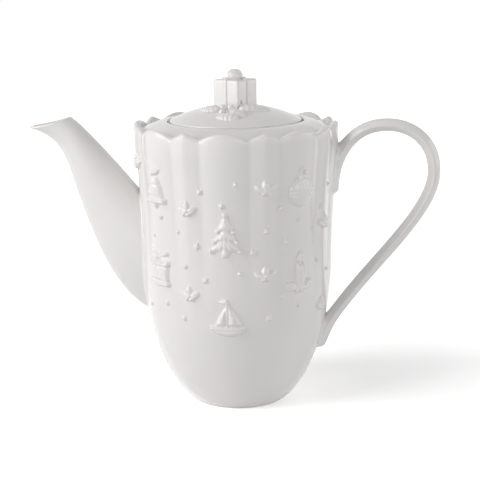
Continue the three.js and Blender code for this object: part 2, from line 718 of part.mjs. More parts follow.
function spinningTop() {
  const rightSide = [at(0, -9), at(6, -0.5), at(7, 2.2), at(5.6, 4.4)];
  const leftSide = [at(-5.6, 4.4), at(-7, 2.2), at(-6, -0.5)];
  return [
    [new THREE.Shape([...rightSide, ...leftSide]), RELIEF_MIDDLE],
    [plateShape(0, 2.2, 14.6, 2.2), RELIEF_HIGH],
    [plateShape(0, 6.4, 2.2, 6), RELIEF_LOW],
    [discShape(0, 9.4, 1.8), RELIEF_MIDDLE],
  ];
}

function boat() {
  return [
    [new THREE.Shape([at(-5, -8), at(5, -8), at(8, -3.4), at(-8, -3.4)]), RELIEF_MIDDLE],
    [plateShape(0, 2, 1.4, 12.4), RELIEF_LOW],
    [new THREE.Shape([at(0.4, -2.2), at(7, -2.2), at(0.4, 8.6)]), RELIEF_HIGH],
    [new THREE.Shape([at(-5.6, -2.2), at(-0.4, -2.2), at(-0.4, 6.4)]), RELIEF_MIDDLE],
  ];
}

function snowflake() {
  const layers = [[discShape(0, 0, 2.8), RELIEF_HIGH]];
  for (const degrees of [30, 90, 150]) {
    layers.push([barShape(18, 1.8, THREE.MathUtils.degToRad(degrees)), RELIEF_MIDDLE]);
  }
  return layers;
}

function sprig() {
  const layers = [[discShape(0, 0, 1.6), RELIEF_HIGH]];
  for (const degrees of [30, 90, 150]) {
    const angle = THREE.MathUtils.degToRad(degrees);
    layers.push([leafShape(0, 0, angle, 8, 4), RELIEF_MIDDLE]);
  }
  return layers;
}

// One motif, drawn on a grid of the given step, set on the wall at an angle round the pot and a height.
function reliefSolid(layers, step, angle, height) {
  const outward = new THREE.Vector3(Math.cos(angle), Math.sin(angle), 0);
  const sideways = UP.clone().cross(outward);
  const place = new THREE.Matrix4().makeBasis(sideways, UP, outward);
  place.setPosition(outward.clone().multiplyScalar(FOOT_RADIUS).setZ(height));
  const depth = COLLAR_RADIUS - FOOT_RADIUS + 2 * RELIEF_HIGH;
  let relief = null;
  for (const [shape, raise] of layers) {
    const options = { depth, bevelEnabled: false, curveSegments: RELIEF_SEGMENTS };
    const drawn = new THREE.ExtrudeGeometry(shape, options).scale(step, step, 1);
    const layer = toSolid(drawn.applyMatrix4(place)).intersect(raisedWalls.get(raise));
    relief = relief ? relief.add(layer) : layer;
  }
  return relief.subtract(fittedBody);
}

const raisedWalls = new Map();
for (const raise of [RELIEF_LOW, RELIEF_MIDDLE, RELIEF_HIGH]) {
  raisedWalls.set(raise, bodyEnvelope(JOINT_GAP + raise));
}

// Angles are in half flutes from the handle and heights in rows from the top one.
const MOTIFS = [
  { name: "bell_front", layers: bell(), angle: -6, row: 0 },
  { name: "drum_front", layers: drum(), angle: -6, row: 2 },
  { name: "tree_front", layers: tree(), angle: -4, row: 1 },
  { name: "boat_front", layers: boat(), angle: -4, row: 3 },
  { name: "bauble_front", layers: bauble(), angle: -2, row: 0 },
  { name: "candle_front", layers: candle(), angle: -2, row: 2 },
  { name: "spinning_top_back", layers: spinningTop(), angle: 2, row: 0 },
  { name: "tree_back", layers: tree(), angle: 2, row: 2 },
  { name: "snowflake_back", layers: snowflake(), angle: 4, row: 1 },
  { name: "bell_back", layers: bell(), angle: 4, row: 3 },
  { name: "drum_back", layers: drum(), angle: 6, row: 0 },
  { name: "bauble_back", layers: bauble(), angle: 6, row: 2 },
];
const SPRIGS = [
  { angle: 1, row: 1 },
  { angle: 1, row: 3 },
  { angle: 3, row: 0 },
  { angle: 3, row: 2 },
  { angle: 5, row: 0.5 },
  { angle: 5, row: 2.5 },
  { angle: 7, row: -0.4 },
];

function addRelief(name, layers, step, halfFlutes, row) {
  const angle = (halfFlutes * TURN) / (2 * FLUTE_COUNT);
  const height = RIM_Z - RELIEF_TOP_ROW_DROP - row * RELIEF_ROW_PITCH;
  addPiece(`relief_${name}`, reliefSolid(layers, step, angle, height));
}

// The assembly

const spoutBore = skin(spoutSections(SPOUT_WALL, SPOUT_WALL));
const spoutOutside = skin(spoutSections(0, 0));
addPiece("pot_body", buildBody().subtract(spoutBore));
addPiece("lid_seat_ring", buildSeatRing());
addPiece("spout", spoutOutside.subtract(spoutBore).subtract(fittedBody));
addPiece("handle", buildHandle().subtract(fittedBody));
for (const motif of MOTIFS) {
  addRelief(motif.name, motif.layers, MOTIF_STEP, motif.angle, motif.row);
}
SPRIGS.forEach((place, index) => {
  addRelief(`sprig_back_${index + 1}`, sprig(), SPRIG_STEP, place.angle, place.row);
  addRelief(`sprig_front_${index + 1}`, sprig(), SPRIG_STEP, -place.angle, place.row);
});
addPiece("lid_cover", buildLidCover());
addPiece("lid_flange", buildFlange());
addPiece("knob_parcel", buildParcel());
addPiece("knob_ribbon", buildRibbon());
addPiece("bow_knot", buildBowKnot(0));
addPiece("bow_loop_front", buildBowLoop(1));
addPiece("bow_loop_back", buildBowLoop(-1));
addSpray("front", 0, LEAF_HEADINGS.length);
addSpray("back", Math.PI, HIDDEN_LEAF_COUNT);

export default pot;
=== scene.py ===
"""A white glazed porcelain coffee pot with a loose lid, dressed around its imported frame.

Lengths are in metres. The handle lies at +X and the spout at -X. Angles run anticlockwise from
the handle, seen from above.
"""

import logging
import math
from collections.abc import Callable, Sequence
from dataclasses import dataclass, field
from enum import Enum

import bmesh
import bpy
import numpy as np
from mathutils import Matrix, Vector


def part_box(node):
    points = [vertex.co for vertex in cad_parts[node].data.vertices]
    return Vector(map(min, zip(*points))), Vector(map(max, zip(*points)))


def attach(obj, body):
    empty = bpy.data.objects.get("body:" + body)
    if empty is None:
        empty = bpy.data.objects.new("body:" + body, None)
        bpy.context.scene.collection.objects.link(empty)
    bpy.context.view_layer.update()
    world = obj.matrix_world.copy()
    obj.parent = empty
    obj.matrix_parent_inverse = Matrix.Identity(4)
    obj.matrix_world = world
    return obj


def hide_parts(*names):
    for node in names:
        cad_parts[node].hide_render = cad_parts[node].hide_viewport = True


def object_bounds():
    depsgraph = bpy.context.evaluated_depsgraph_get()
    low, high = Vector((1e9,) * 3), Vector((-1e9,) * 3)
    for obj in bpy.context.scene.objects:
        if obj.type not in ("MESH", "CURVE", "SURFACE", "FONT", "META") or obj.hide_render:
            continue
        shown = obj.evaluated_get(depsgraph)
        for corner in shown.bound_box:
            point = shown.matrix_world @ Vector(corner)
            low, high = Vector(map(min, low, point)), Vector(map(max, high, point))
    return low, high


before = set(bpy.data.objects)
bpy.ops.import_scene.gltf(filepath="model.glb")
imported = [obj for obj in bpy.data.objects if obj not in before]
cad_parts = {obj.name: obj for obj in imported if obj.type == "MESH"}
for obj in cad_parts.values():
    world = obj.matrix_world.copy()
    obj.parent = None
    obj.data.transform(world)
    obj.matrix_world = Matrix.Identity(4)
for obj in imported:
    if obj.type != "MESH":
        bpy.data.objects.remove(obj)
CAD_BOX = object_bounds()

LOG = logging.getLogger("coffee_pot")
MM = 0.001
WELD = 0.005 * MM
TURN = 2 * math.pi
FAR = 1e6
CURVE_POINTS = 200
WHITE = (1.0, 1.0, 1.0, 1.0)
# Point attribute: pooled glaze with painted shade in hollows at 1, even glaze at 0, thin glaze at -1.
GLAZE_DEPTH_AND_SHADE = "glaze_depth_and_shade"
Array = np.ndarray
Socket = bpy.types.NodeSocket
Colour = tuple[float, float, float]


class Body(Enum):
    """The bodies of the frame."""

    POT = "pot"
    LID = "lid"


class Ends(Enum):
    """How a row of rings is closed."""

    CAPPED = "capped"
    JOINED = "joined"


class Side(Enum):
    """The two sides of the pot, with the turn from the front that each one takes."""

    FRONT = 0.0
    BACK = math.pi


# Meshes


def circle(count: int) -> Array:
    """Angles at even steps round one turn."""
    return np.arange(count) / count * TURN


def unit(vectors: Array) -> Array:
    """The same directions with a length of 1 each."""
    return vectors / np.linalg.norm(vectors, axis=-1, keepdims=True)


def link(name: str, data: bpy.types.ID) -> bpy.types.Object:
    """Adds an object to the scene.

    Args:
        name: The object's name.
        data: Its mesh, lamp or camera.

    Returns:
        The new object, at the origin.
    """
    made = bpy.data.objects.new(name, data)
    bpy.context.scene.collection.objects.link(made)
    return made


@dataclass
class Shape:
    """A closed mesh, or several, as points and faces."""

    points: Array
    faces: list[list[int]]

    def joined(self, other: "Shape") -> "Shape":
        """Both shapes as one."""
        shifted = [[index + len(self.points) for index in face] for face in other.faces]
        return Shape(np.concatenate([self.points, other.points]), self.faces + shifted)

    def turned(self, angle: float) -> "Shape":
        """The shape turned about the pot's axis."""
        turn = np.array(Matrix.Rotation(angle, 3, "Z"))
        return Shape(self.points @ turn.T, self.faces)

    def object(self, name: str) -> bpy.types.Object:
        """Makes an object with smooth shading and faces that point out.

        Args:
            name: The object's name.

        Returns:
            The new object, at the origin.
        """
        mesh = bpy.data.meshes.new(name)
        mesh.from_pydata(self.points.tolist(), [], self.faces)
        work = bmesh.new()
        work.from_mesh(mesh)
        bmesh.ops.recalc_face_normals(work, faces=work.faces)
        work.to_mesh(mesh)
        work.free()
        mesh.shade_smooth()
        return link(name, mesh)


def loft(rings: Sequence[Array], ends: Ends) -> Shape:
    """Joins rings of equal point counts into a closed skin.

    Args:
        rings: The rings in order, each an array of points.
        ends: Whether the ends are capped or the last ring joins the first.

    Returns:
        The closed shape.
    """
    count = len(rings[0])
    here = np.arange(count)
    following = (here + 1) % count
    steps = len(rings) if ends is Ends.JOINED else len(rings) - 1
    faces: list[list[int]] = []
    for row in range(steps):
        low = row * count
        high = ((row + 1) % len(rings)) * count
        quads = np.stack([low + here, low + following, high + following, high + here], axis=1)
        faces.extend(quads.tolist())
    points = np.concatenate(rings)
    if ends is Ends.CAPPED:
        first = len(points)
        last = count * (len(rings) - 1)
        points = np.concatenate([points, [rings[0].mean(0), rings[-1].mean(0)]])
        fans = [
            (np.full(count, first), following, here),
            (np.full(count, first + 1), last + here, last + following),
        ]
        for fan in fans:
            faces.extend(np.stack(fan, axis=1).tolist())
    return Shape(points, faces)


def ring_at(angles: Array, reach: Array | float, height: Array | float) -> Array:
    """A ring about the pot's axis.

    Args:
        angles: The angle of each point.
        reach: Distance from the axis, one for all or one each.
        height: Height, one for all or one each.

    Returns:
        The ring's points.
    """
    return np.stack([reach * np.cos(angles), reach * np.sin(angles), height + 0 * angles], axis=1)


def bezier(controls: Sequence[Sequence[float]], shares: Array) -> Array:
    """Points along a Bezier curve of any order.

    Args:
        controls: The control points.
        shares: Where on the curve, from 0 to 1.

    Returns:
        One point for each share.
    """
    rows = np.repeat(np.asarray(controls, float)[:, None, :], len(shares), axis=1)
    along = shares[:, None]
    while len(rows) > 1:
        rows = rows[:-1] * (1 - along) + rows[1:] * along
    return rows[0]


def evenly(points: Array, count: int, skipped: float = 0.0) -> Array:
    """The same line with points at even steps along it.

    Args:
        points: The line.
        count: How many points it gets.
        skipped: Length left off at its start.

    Returns:
        The new points.
    """
    lengths = np.linalg.norm(np.diff(points, axis=0), axis=1)
    along = np.concatenate([[0.0], np.cumsum(lengths)])
    wanted = np.linspace(skipped, along[-1], count)
    return np.stack([np.interp(wanted, along, column) for column in points.T], axis=1)


def rounded(corners: Sequence[tuple[float, float, float]], steps: int = 6) -> Array:
    """A closed outline with rounded corners.

    Args:
        corners: Each corner's two coordinates and how far from it the rounding starts.
        steps: Points on each rounding, less one.

    Returns:
        The outline's points in order.
    """
    places = np.array([corner[:2] for corner in corners])
    line = []
    for index, (*_, start) in enumerate(corners):
        here = places[index]
        if not start:
            line.append(here[None])
            continue
        ends = []
        for neighbour in (places[index - 1], places[(index + 1) % len(places)]):
            away = neighbour - here
            ends.append(here + away * start / np.linalg.norm(away))
        line.append(bezier([ends[0], here, ends[1]], np.linspace(0, 1, steps + 1)))
    return np.concatenate(line)


def revolve(outline: Array, columns: int) -> Shape:
    """Turns a closed outline of distances and heights about the pot's axis.

    Args:
        outline: Distance from the axis and height of each point.
        columns: Points around.

    Returns:
        The ring-shaped solid.
    """
    angles = circle(columns)
    return loft([ring_at(angles, reach, height) for reach, height in outline], Ends.JOINED)


def carve(piece: bpy.types.Object, cutters: Sequence[Shape]) -> None:
    """Cuts shapes out of a piece.

    Args:
        piece: The piece to cut.
        cutters: The closed shapes that are taken away.
    """
    tools = [cutter.object("cutter") for cutter in cutters]
    for tool in tools:
        cut = piece.modifiers.new("cut", "BOOLEAN")
        cut.operation = "DIFFERENCE"
        cut.solver = "EXACT"
        cut.object = tool
    graph = bpy.context.evaluated_depsgraph_get()
    whole = piece.data
    piece.data = bpy.data.meshes.new_from_object(piece.evaluated_get(graph))
    piece.modifiers.clear()
    bpy.data.meshes.remove(whole)
    mesh = bmesh.new()
    mesh.from_mesh(piece.data)
    bmesh.ops.remove_doubles(mesh, verts=mesh.verts, dist=WELD)
    bmesh.ops.dissolve_degenerate(mesh, edges=mesh.edges, dist=WELD)
    mesh.to_mesh(piece.data)
    mesh.free()
    for tool in tools:
        bpy.data.meshes.remove(tool.data)


def places_of(piece: bpy.types.Object) -> Array:
    """The points of a piece.

    Args:
        piece: The piece.

    Returns:
        One row for each point.
    """
    flat = np.zeros(len(piece.data.vertices) * 3)
    piece.data.vertices.foreach_get("co", flat)
    return flat.reshape(-1, 3)


def set_glaze_and_shade(piece: bpy.types.Object, depth: Array) -> None:
    """Stores how the glaze lies on a piece, with painted shade where it pools.

    Args:
        piece: The piece.
        depth: At each point, 1 where glaze pools and shade is painted, 0 where it is even and -1 where
            it runs thin.
    """
    layer = piece.data.attributes.new(GLAZE_DEPTH_AND_SHADE, "FLOAT", "POINT")
    layer.data.foreach_set("value", depth.astype(np.float32))


@dataclass
class Assembly:
    """Pieces that ride on one body of the frame."""

    body: Body = Body.POT
    pieces: list[bpy.types.Object] = field(default_factory=list, init=False)

    def add(self, name: str, shape: Shape, *nodes: str) -> bpy.types.Object:
        """Adds a piece that rides on the body.

        Args:
            name: The piece's name.
            shape: Its mesh, in the frame's place.
            nodes: The CAD nodes that it stands for.

        Returns:
            The new piece.
        """
        piece = shape.object(name)
        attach(piece, self.body.value)
        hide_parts(*nodes)
        self.pieces.append(piece)
        return piece

    def dress(self, *finishes: bpy.types.Material) -> None:
        """Gives every piece its finishes.

        Args:
            finishes: The materials, the main one first.
        """
        for piece in self.pieces:
            for finish in finishes:
                piece.data.materials.append(finish)


# The pot


@dataclass
class Wall:
    """The fluted outside of the pot, as a distance from its axis for each angle and height."""

    foot_radius: float = 32.5 * MM
    heel_out: float = 15 * MM
    heel_up: float = 13.5 * MM
    turn_in: float = 2.4 * MM
    turn_down: float = 48 * MM
    bowl_height: float = 90 * MM
    flare: float = 4.2 * MM
    flutes: int = 8
    lobe_share: float = 0.6
    flute_depth: float = 1.8 * MM
    flute_start: float = 48 * MM
    scallop_depth: float = 4.2 * MM
    collar_height: float = 10 * MM
    slope_step: float = 0.5 * MM
    slope_turn: float = 0.008
    softness: float = math.radians(0.8)
    table_size: int = 3600

    def __post_init__(self) -> None:
        """Takes the rim's height and reach from the frame."""
        self.collar_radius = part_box("pot_body")[1].x
        self.rim_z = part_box("pot_body")[1].z
        self.radius_at_bowl = self.collar_radius - self.flare
        self.collar_z = self.rim_z - self.scallop_depth - self.collar_height
        self.turns = np.arange(self.table_size + 1) / self.table_size * TURN
        flute = TURN / self.flutes
        lobe = flute / 2 * self.lobe_share
        offset = np.abs(self.turns - np.round(self.turns / flute) * flute)
        sharp = np.where(offset <= lobe, (offset / lobe) ** 2, 1 - (offset - lobe) / (flute / 2 - lobe))
        reach = np.minimum(self.turns, TURN - self.turns) / self.softness
        weight = np.exp(-(reach[:-1] ** 2) / 2)
        soft = np.fft.ifft(np.fft.fft(sharp[:-1]) * np.fft.fft(weight / weight.sum())).real
        self.valleys = np.append(soft, soft[0])

    def valley(self, angle: Array) -> Array:
        """How far each angle lies towards a valley: 0 on lobes and ridges, 1 in the valleys."""
        return np.interp(np.mod(angle, TURN), self.turns, self.valleys)

    def depth(self, height: Array) -> Array:
        """Depth of the valleys at each height."""
        share = np.clip((height - self.flute_start) / (self.collar_z - self.flute_start), 0, 1)
        return self.flute_depth * share**2 * (3 - 2 * share)

    def outline(self, steps: int) -> Array:
        """Distances and heights over the lobes, from the foot to the collar.

        Args:
            steps: Points on the bowl, and again on the wall above it.

        Returns:
            The outline from the foot upwards.
        """
        controls = [
            (self.foot_radius, 0),
            (self.foot_radius + self.heel_out, self.heel_up),
            (self.radius_at_bowl - self.turn_in, self.bowl_height - self.turn_down),
            (self.radius_at_bowl, self.bowl_height),
        ]
        share = np.linspace(0, 1, steps + 1)[1:]
        rising = self.bowl_height + (self.collar_z - self.bowl_height) * share
        wall = np.stack([self.radius_at_bowl + self.flare * share**2, rising], axis=1)
        return np.concatenate([bezier(controls, np.linspace(0, 1, steps)), wall])

    def reach(self, height: Array) -> Array:
        """Distance of the lobes from the axis at each height."""
        line = self.outline(CURVE_POINTS)
        return np.interp(height, line[:, 1], line[:, 0])

    def radius(self, angle: Array, height: Array) -> Array:
        """Distance of the wall from the axis at each angle and height."""
        return self.reach(height) - self.depth(height) * self.valley(angle)

    def clearance(self, points: Array) -> Array:
        """How far each point lies outside the wall."""
        angle = np.arctan2(points[..., 1], points[..., 0])
        return np.hypot(points[..., 0], points[..., 1]) - self.radius(angle, points[..., 2])

    def on_wall(self, points: Array, lift: float = 0.0) -> Array:
        """The points moved to the wall along their own radius.

        Args:
            points: The points.
            lift: How far off the wall they come to lie.

        Returns:
            The moved points.
        """
        angle = np.arctan2(points[..., 1], points[..., 0])
        reach = self.radius(angle, points[..., 2]) + lift
        return np.stack([reach * np.cos(angle), reach * np.sin(angle), points[..., 2]], axis=-1)

    def normal(self, angle: Array, height: Array) -> Array:
        """Outward direction of the wall.

        Args:
            angle: Angles round the pot.
            height: Heights, of the same shape.

        Returns:
            One unit vector for each place.
        """
        turn = self.slope_turn
        rise = self.slope_step
        radius = self.radius(angle, height)
        onward, backward = self.radius(angle + turn, height), self.radius(angle - turn, height)
        above, below = self.radius(angle, height + rise), self.radius(angle, height - rise)
        round_slope = (onward - backward) / (2 * turn)
        up_slope = (above - below) / (2 * rise)
        cos, sin = np.cos(angle), np.sin(angle)
        across = np.stack(
            [round_slope * cos - radius * sin, round_slope * sin + radius * cos, 0 * radius], axis=-1
        )
        upward = np.stack([up_slope * cos, up_slope * sin, 1 + 0 * radius], axis=-1)
        return unit(np.cross(across, upward))


@dataclass
class PotBody(Assembly):
    """The thin shell from its foot ring to its scalloped collar, and the ring that seats the lid."""

    wall: Wall = field(default_factory=Wall)
    steps_per_flute: int = 50
    outline_steps: int = 56
    foot_width: float = 4 * MM
    foot_recess: float = 3 * MM
    foot_edge: float = 0.8 * MM
    bisque_height: float = 0.25 * MM
    thickness: float = 4 * MM
    floor_thickness: float = 5 * MM
    collar_thickness: float = 4.8 * MM
    rim_roll: float = 2.4 * MM
    rim_steps: int = 14
    collar_rows: int = 8
    collar_ease: float = 6 * MM
    floor_shares: tuple[float, float] = (1, 0.5)
    pool_and_shade_sharpness: float = 6
    ledge_width: float = 6.5 * MM
    ledge_drop: float = 3.1 * MM
    seat_thickness: float = 4 * MM
    groove_drop: float = 4.3 * MM
    groove_ease: float = 1.2 * MM
    shoulder_lip: float = 1.5 * MM
    shoulder_pull: tuple[float, float] = (5 * MM, 2.6 * MM)
    shoulder_pull_out: float = 4.5 * MM
    slope_rows: int = 20
    lip_round: float = 1.2 * MM
    recess_round: float = 0.6 * MM
    mouth_round: float = 0.9 * MM

    def __post_init__(self) -> None:
        """Sets the angles of the mesh's columns, with one along each valley and ridge."""
        count = self.wall.flutes * self.steps_per_flute
        self.angles = circle(count)
        self.valley = self.wall.valley(self.angles)

    def rim_rings(self) -> list[Array]:
        """The rolled crest of the collar.

        Returns:
            Rings from its outside to its inside.
        """
        half = self.collar_thickness / 2
        middle = self.wall.collar_radius - half - self.wall.flute_depth * self.valley
        base = self.wall.rim_z - self.rim_roll - self.wall.scallop_depth * self.valley
        turns = np.linspace(0, math.pi, self.rim_steps + 1)
        return [
            ring_at(self.angles, middle + half * math.cos(turn), base + self.rim_roll * math.sin(turn))
            for turn in turns
        ]

    def collar_inside(self) -> Array:
        """Distance of the collar's inner face from the axis, for each column."""
        return self.wall.collar_radius - self.collar_thickness - self.wall.flute_depth * self.valley

    def build_shell(self, bore: Shape) -> None:
        """Makes the body with its pouring hole.

        Args:
            bore: The space that the hole takes from the wall.
        """
        wall = self.wall
        inner = wall.foot_radius - self.foot_width
        foot = rounded(
            [
                (inner / 2, self.foot_recess, 0),
                (inner, self.foot_recess, self.foot_edge),
                (inner, 0, self.foot_edge),
                (wall.foot_radius, 0, self.foot_edge),
            ]
        )
        outline = wall.outline(self.outline_steps)
        outline = outline[outline[:, 1] > self.foot_edge]
        outside = [
            ring_at(self.angles, reach - wall.depth(height) * self.valley, height)
            for reach, height in outline
        ]
        rim = self.rim_rings()
        rising = np.linspace(0, 1, self.collar_rows)[1:-1]
        collar = [outside[-1] + (rim[0] - outside[-1]) * share for share in rising]
        inside_top = ring_at(self.angles, self.collar_inside(), wall.collar_z)
        floor_z = self.foot_recess + self.floor_thickness
        kept = outline[(outline[:, 1] > floor_z) & (outline[:, 1] < wall.collar_z - self.collar_ease)]
        inside = [
            ring_at(self.angles, reach - wall.depth(height) - self.thickness, height)
            for reach, height in kept[::-1]
        ]
        floor = [ring_at(self.angles, wall.foot_radius * share, floor_z) for share in self.floor_shares]
        base = [ring_at(self.angles, reach, height) for reach, height in foot]
        rings = [*base, *outside, *collar, *rim, inside_top, *inside, *floor]
        shell = self.add("pot_body_porcelain", loft(rings, Ends.CAPPED), "pot_body")
        carve(shell, [bore])
        places = places_of(shell)
        height = places[:, 2]
        valley = wall.valley(np.arctan2(places[:, 1], places[:, 0]))
        # Painted shade: the flute valleys are darkened as pooled glaze, more towards the collar; the
        # rim's crest gets thin glaze.
        pool_and_shade = valley**self.pool_and_shade_sharpness * wall.depth(height) / wall.flute_depth
        roll_z = wall.rim_z - wall.scallop_depth - self.rim_roll
        crest = np.clip((height - roll_z) / self.rim_roll, 0, 1)
        set_glaze_and_shade(shell, np.where(height > wall.collar_z, pool_and_shade * (1 - crest) - crest, pool_and_shade))

    def build_seat(self) -> None:
        """Makes the shoulder behind the collar with the recess, ledge and mouth for the lid."""
        low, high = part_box("lid_seat_ring")
        lip_z = high.z
        ledge_z = lip_z - self.ledge_drop
        groove_z = self.wall.rim_z - self.groove_drop
        under_z = ledge_z - self.seat_thickness
        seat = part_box("lid_cover")[1].x + self.shoulder_lip
        mouth = seat - self.ledge_width
        pull_in, pull_up = self.shoulder_pull
        inside = self.collar_inside()
        crest_z = self.wall.rim_z - self.wall.scallop_depth * self.valley
        slope = bezier(
            [
                (1, groove_z),
                (1 - pull_in / high.x, groove_z + pull_up),
                ((seat + self.shoulder_lip + self.shoulder_pull_out) / high.x, lip_z),
                ((seat + self.shoulder_lip) / high.x, lip_z),
            ],
            np.linspace(0, 1, self.slope_rows),
        )
        recess = rounded(
            [
                (seat + self.shoulder_lip, lip_z, 0),
                (seat, lip_z, self.lip_round),
                (seat, ledge_z, self.recess_round),
                (mouth, ledge_z, self.mouth_round),
                (mouth, under_z, self.mouth_round),
                (seat, under_z, 0),
            ]
        )
        sunk = np.minimum(groove_z, crest_z - self.groove_ease)
        rings = [
            ring_at(self.angles, inside + self.collar_thickness / 2, low.z),
            ring_at(self.angles, inside + self.collar_thickness / 2, sunk),
        ]
        ease = np.linspace(0, 1, len(slope))
        for (share, height), settle in zip(slope[:-1], ease):
            reach = high.x * share + (inside - high.x) * (1 - settle) ** 2
            rings.append(ring_at(self.angles, reach, height))
        rings.extend(ring_at(self.angles, reach, height) for reach, height in recess)
        self.add("lid_seat_porcelain", loft(rings, Ends.JOINED), "lid_seat_ring")

    def dress(self, *finishes: bpy.types.Material) -> None:
        """Glazes the pieces and leaves the face that the pot stands on bare.

        Args:
            finishes: The glaze, then the bare finish.
        """
        super().dress(*finishes)
        for face in self.pieces[0].data.polygons:
            face.material_index = int(face.center.z < self.bisque_height)


@dataclass
class Spout(Assembly):
    """The hollow S-curved spout with a thin beak lip, flowing into the wall at its root."""

    wall: Wall = field(default_factory=Wall)
    reach: float = 74.5 * MM
    tip_drop: float = 4 * MM
    mouth_length: float = 29.4 * MM
    mouth_tilt: float = math.radians(13)
    mouth_crown: float = -0.7 * MM
    mouth_ease: float = 0.15
    foot_z: float = 57.4 * MM
    head_drop: float = 46.6 * MM
    neck_out: float = 45 * MM
    neck_drop: float = 42.6 * MM
    widths: tuple[float, float, float] = (36 * MM, 20 * MM, 16 * MM)
    thickness: float = 3.2 * MM
    lip: float = 2.4 * MM
    beak: float = 0.22
    bury: float = 16 * MM
    fillet: float = 3.4 * MM
    top_fillet: float = 1.4 * MM
    sunk: float = 1.2 * MM
    foot_pull: tuple[float, float] = (24.5 * MM, 12.5 * MM)
    neck_lower_pull: tuple[float, float] = (-12 * MM, -38 * MM)
    neck_upper_pull: tuple[float, float] = (5.2 * MM, 18 * MM)
    tip_pull: tuple[float, float] = (-21.6 * MM, -7.2 * MM)
    head_pull: tuple[float, float] = (12 * MM, 16 * MM)
    back_pull: tuple[float, float] = (-13 * MM, -12.4 * MM)
    sections: int = 80
    sides: int = 80
    rows: int = 76
    fillet_rows: int = 8
    lip_rows: int = 8
    bury_rows: int = 16
    bore_sections: int = 26

    @staticmethod
    def bend(
        start: Array,
        leave: Sequence[float],
        arrive: Sequence[float],
        end: Array,
        count: int = CURVE_POINTS,
    ) -> Array:
        """A curve between two points that is pulled outwards and up at each end.

        Args:
            start: Where it starts.
            leave: Pull at the start.
            arrive: Pull at the end.
            end: Where it ends.
            count: Points on the curve.

        Returns:
            Distances from the axis and heights.
        """
        controls = [start, start + np.array(leave), end + np.array(arrive), end]
        return bezier(controls, np.linspace(0, 1, count))

    def edges(self) -> tuple[Array, Array]:
        """The spout's two edges, seen from the side.

        Returns:
            The underside and the upper side, as distances from the axis and heights.
        """
        rim = self.wall.rim_z
        base = self.wall.radius_at_bowl
        tip = np.array([base + self.reach, rim - self.tip_drop])
        backward = np.array([-math.cos(self.mouth_tilt), math.sin(self.mouth_tilt)])
        back = tip + self.mouth_length * backward
        neck = np.array([base + self.neck_out, rim - self.neck_drop])
        foot = np.array([self.wall.reach(self.foot_z), self.foot_z])
        head_z = rim - self.head_drop
        head = np.array([self.wall.reach(head_z), head_z])
        lower = self.bend(foot, self.foot_pull, self.neck_lower_pull, neck)
        higher = self.bend(neck, self.neck_upper_pull, self.tip_pull, tip)
        under = evenly(np.concatenate([lower, higher[1:]]), self.sections + 1)
        upper = self.bend(head, self.head_pull, self.back_pull, back, self.sections + 1)
        return under, upper

    def lines(self, root_inset: float, mouth_inset: float) -> Array:
        """Lines along the spout from inside the pot to the mouth.

        Args:
            root_inset: How far the lines lie inside the outer surface at the root.
            mouth_inset: The same at the mouth.

        Returns:
            Points by section, then by side.
        """
        under, upper = self.edges()
        share = np.linspace(0, 1, self.sections + 1)[:, None]
        root, neck, mouth = self.widths
        lower_width = root * (1 - share) + neck * share
        upper_width = neck * (1 - share) + mouth * share
        width = lower_width * (1 - share) + upper_width * share
        inset = root_inset + (mouth_inset - root_inset) * share
        turn = circle(self.sides)
        centre = (under + upper) / 2
        across = (upper - under) / 2
        length = np.linalg.norm(across, axis=1, keepdims=True)
        slim = np.cos(turn) * (length - inset) / length
        out = centre[:, :1] + across[:, :1] * slim
        up = centre[:, 1:] + across[:, 1:] * slim
        side = (width / 2 - inset) * np.sin(turn) * (1 + self.beak * np.cos(turn))
        near_mouth = np.clip((share - 1) / self.mouth_ease + 1, 0, 1) ** 2
        crown = self.mouth_crown * np.sin(turn) ** 2
        out -= near_mouth * math.sin(self.mouth_tilt) * self.lip / 2
        up -= near_mouth * (math.cos(self.mouth_tilt) * self.lip / 2 - crown)
        grid = np.stack([-out, side, up], axis=-1)
        inward = np.linspace(1, 0, self.bury_rows)[:-1, None, None]
        return np.concatenate([grid[0] + np.array([self.bury, 0, -self.bury / 2]) * inward, grid])

    def fillets(self) -> Array:
        """Size of the rounding at the root for each side, smaller at the top."""
        upper = np.clip(np.cos(circle(self.sides)), 0, 1)
        return self.fillet + (self.top_fillet - self.fillet) * upper

    def from_wall(self, grid: Array, lift: float, spare: Array, rows: int) -> tuple[Array, Array]:
        """Cuts lines where they leave the wall.

        Args:
            grid: Points by section, then by side.
            lift: How far outside the wall the cut lies.
            spare: Length left off each line after the cut, by side.
            rows: Points that each kept line gets.

        Returns:
            Where the lines are cut, and the kept points by row, then by side.
        """
        clear = self.wall.clearance(grid) - lift
        cuts, kept = [], []
        for side in range(grid.shape[1]):
            line = grid[:, side]
            outside = int(np.nonzero(clear[:, side] < 0)[0].max()) + 1
            share = clear[outside - 1, side] / (clear[outside - 1, side] - clear[outside, side])
            cut = line[outside - 1] + (line[outside] - line[outside - 1]) * share
            cuts.append(cut)
            kept.append(evenly(np.concatenate([cut[None], line[outside:]]), rows, spare[side]))
        return np.array(cuts), np.stack(kept, axis=1)

    def root(self, seam: Array, start: Array) -> list[Array]:
        """The rounded foot where the spout flows into the wall.

        Args:
            seam: Where the spout's surface would meet the wall.
            start: Where the rounding leaves the spout.

        Returns:
            Rings from inside the wall to the start.
        """
        angle = np.arctan2(seam[:, 1], seam[:, 0])
        normal = self.wall.normal(angle, seam[:, 2])
        round_seam = np.roll(seam, -1, axis=0) - np.roll(seam, 1, axis=0)
        away = unit(np.cross(round_seam, normal))
        away *= np.sign(((seam - seam.mean(0)) * away).sum(1, keepdims=True))
        landed = self.wall.on_wall(seam + away * self.fillets()[:, None])
        shares = np.linspace(0, 1, self.fillet_rows + 1)[:, None, None]
        blend = landed * (1 - shares) ** 2 + 2 * seam * shares * (1 - shares) + start * shares**2
        return [landed + away * self.sunk - normal * self.sunk, *blend[:-1]]

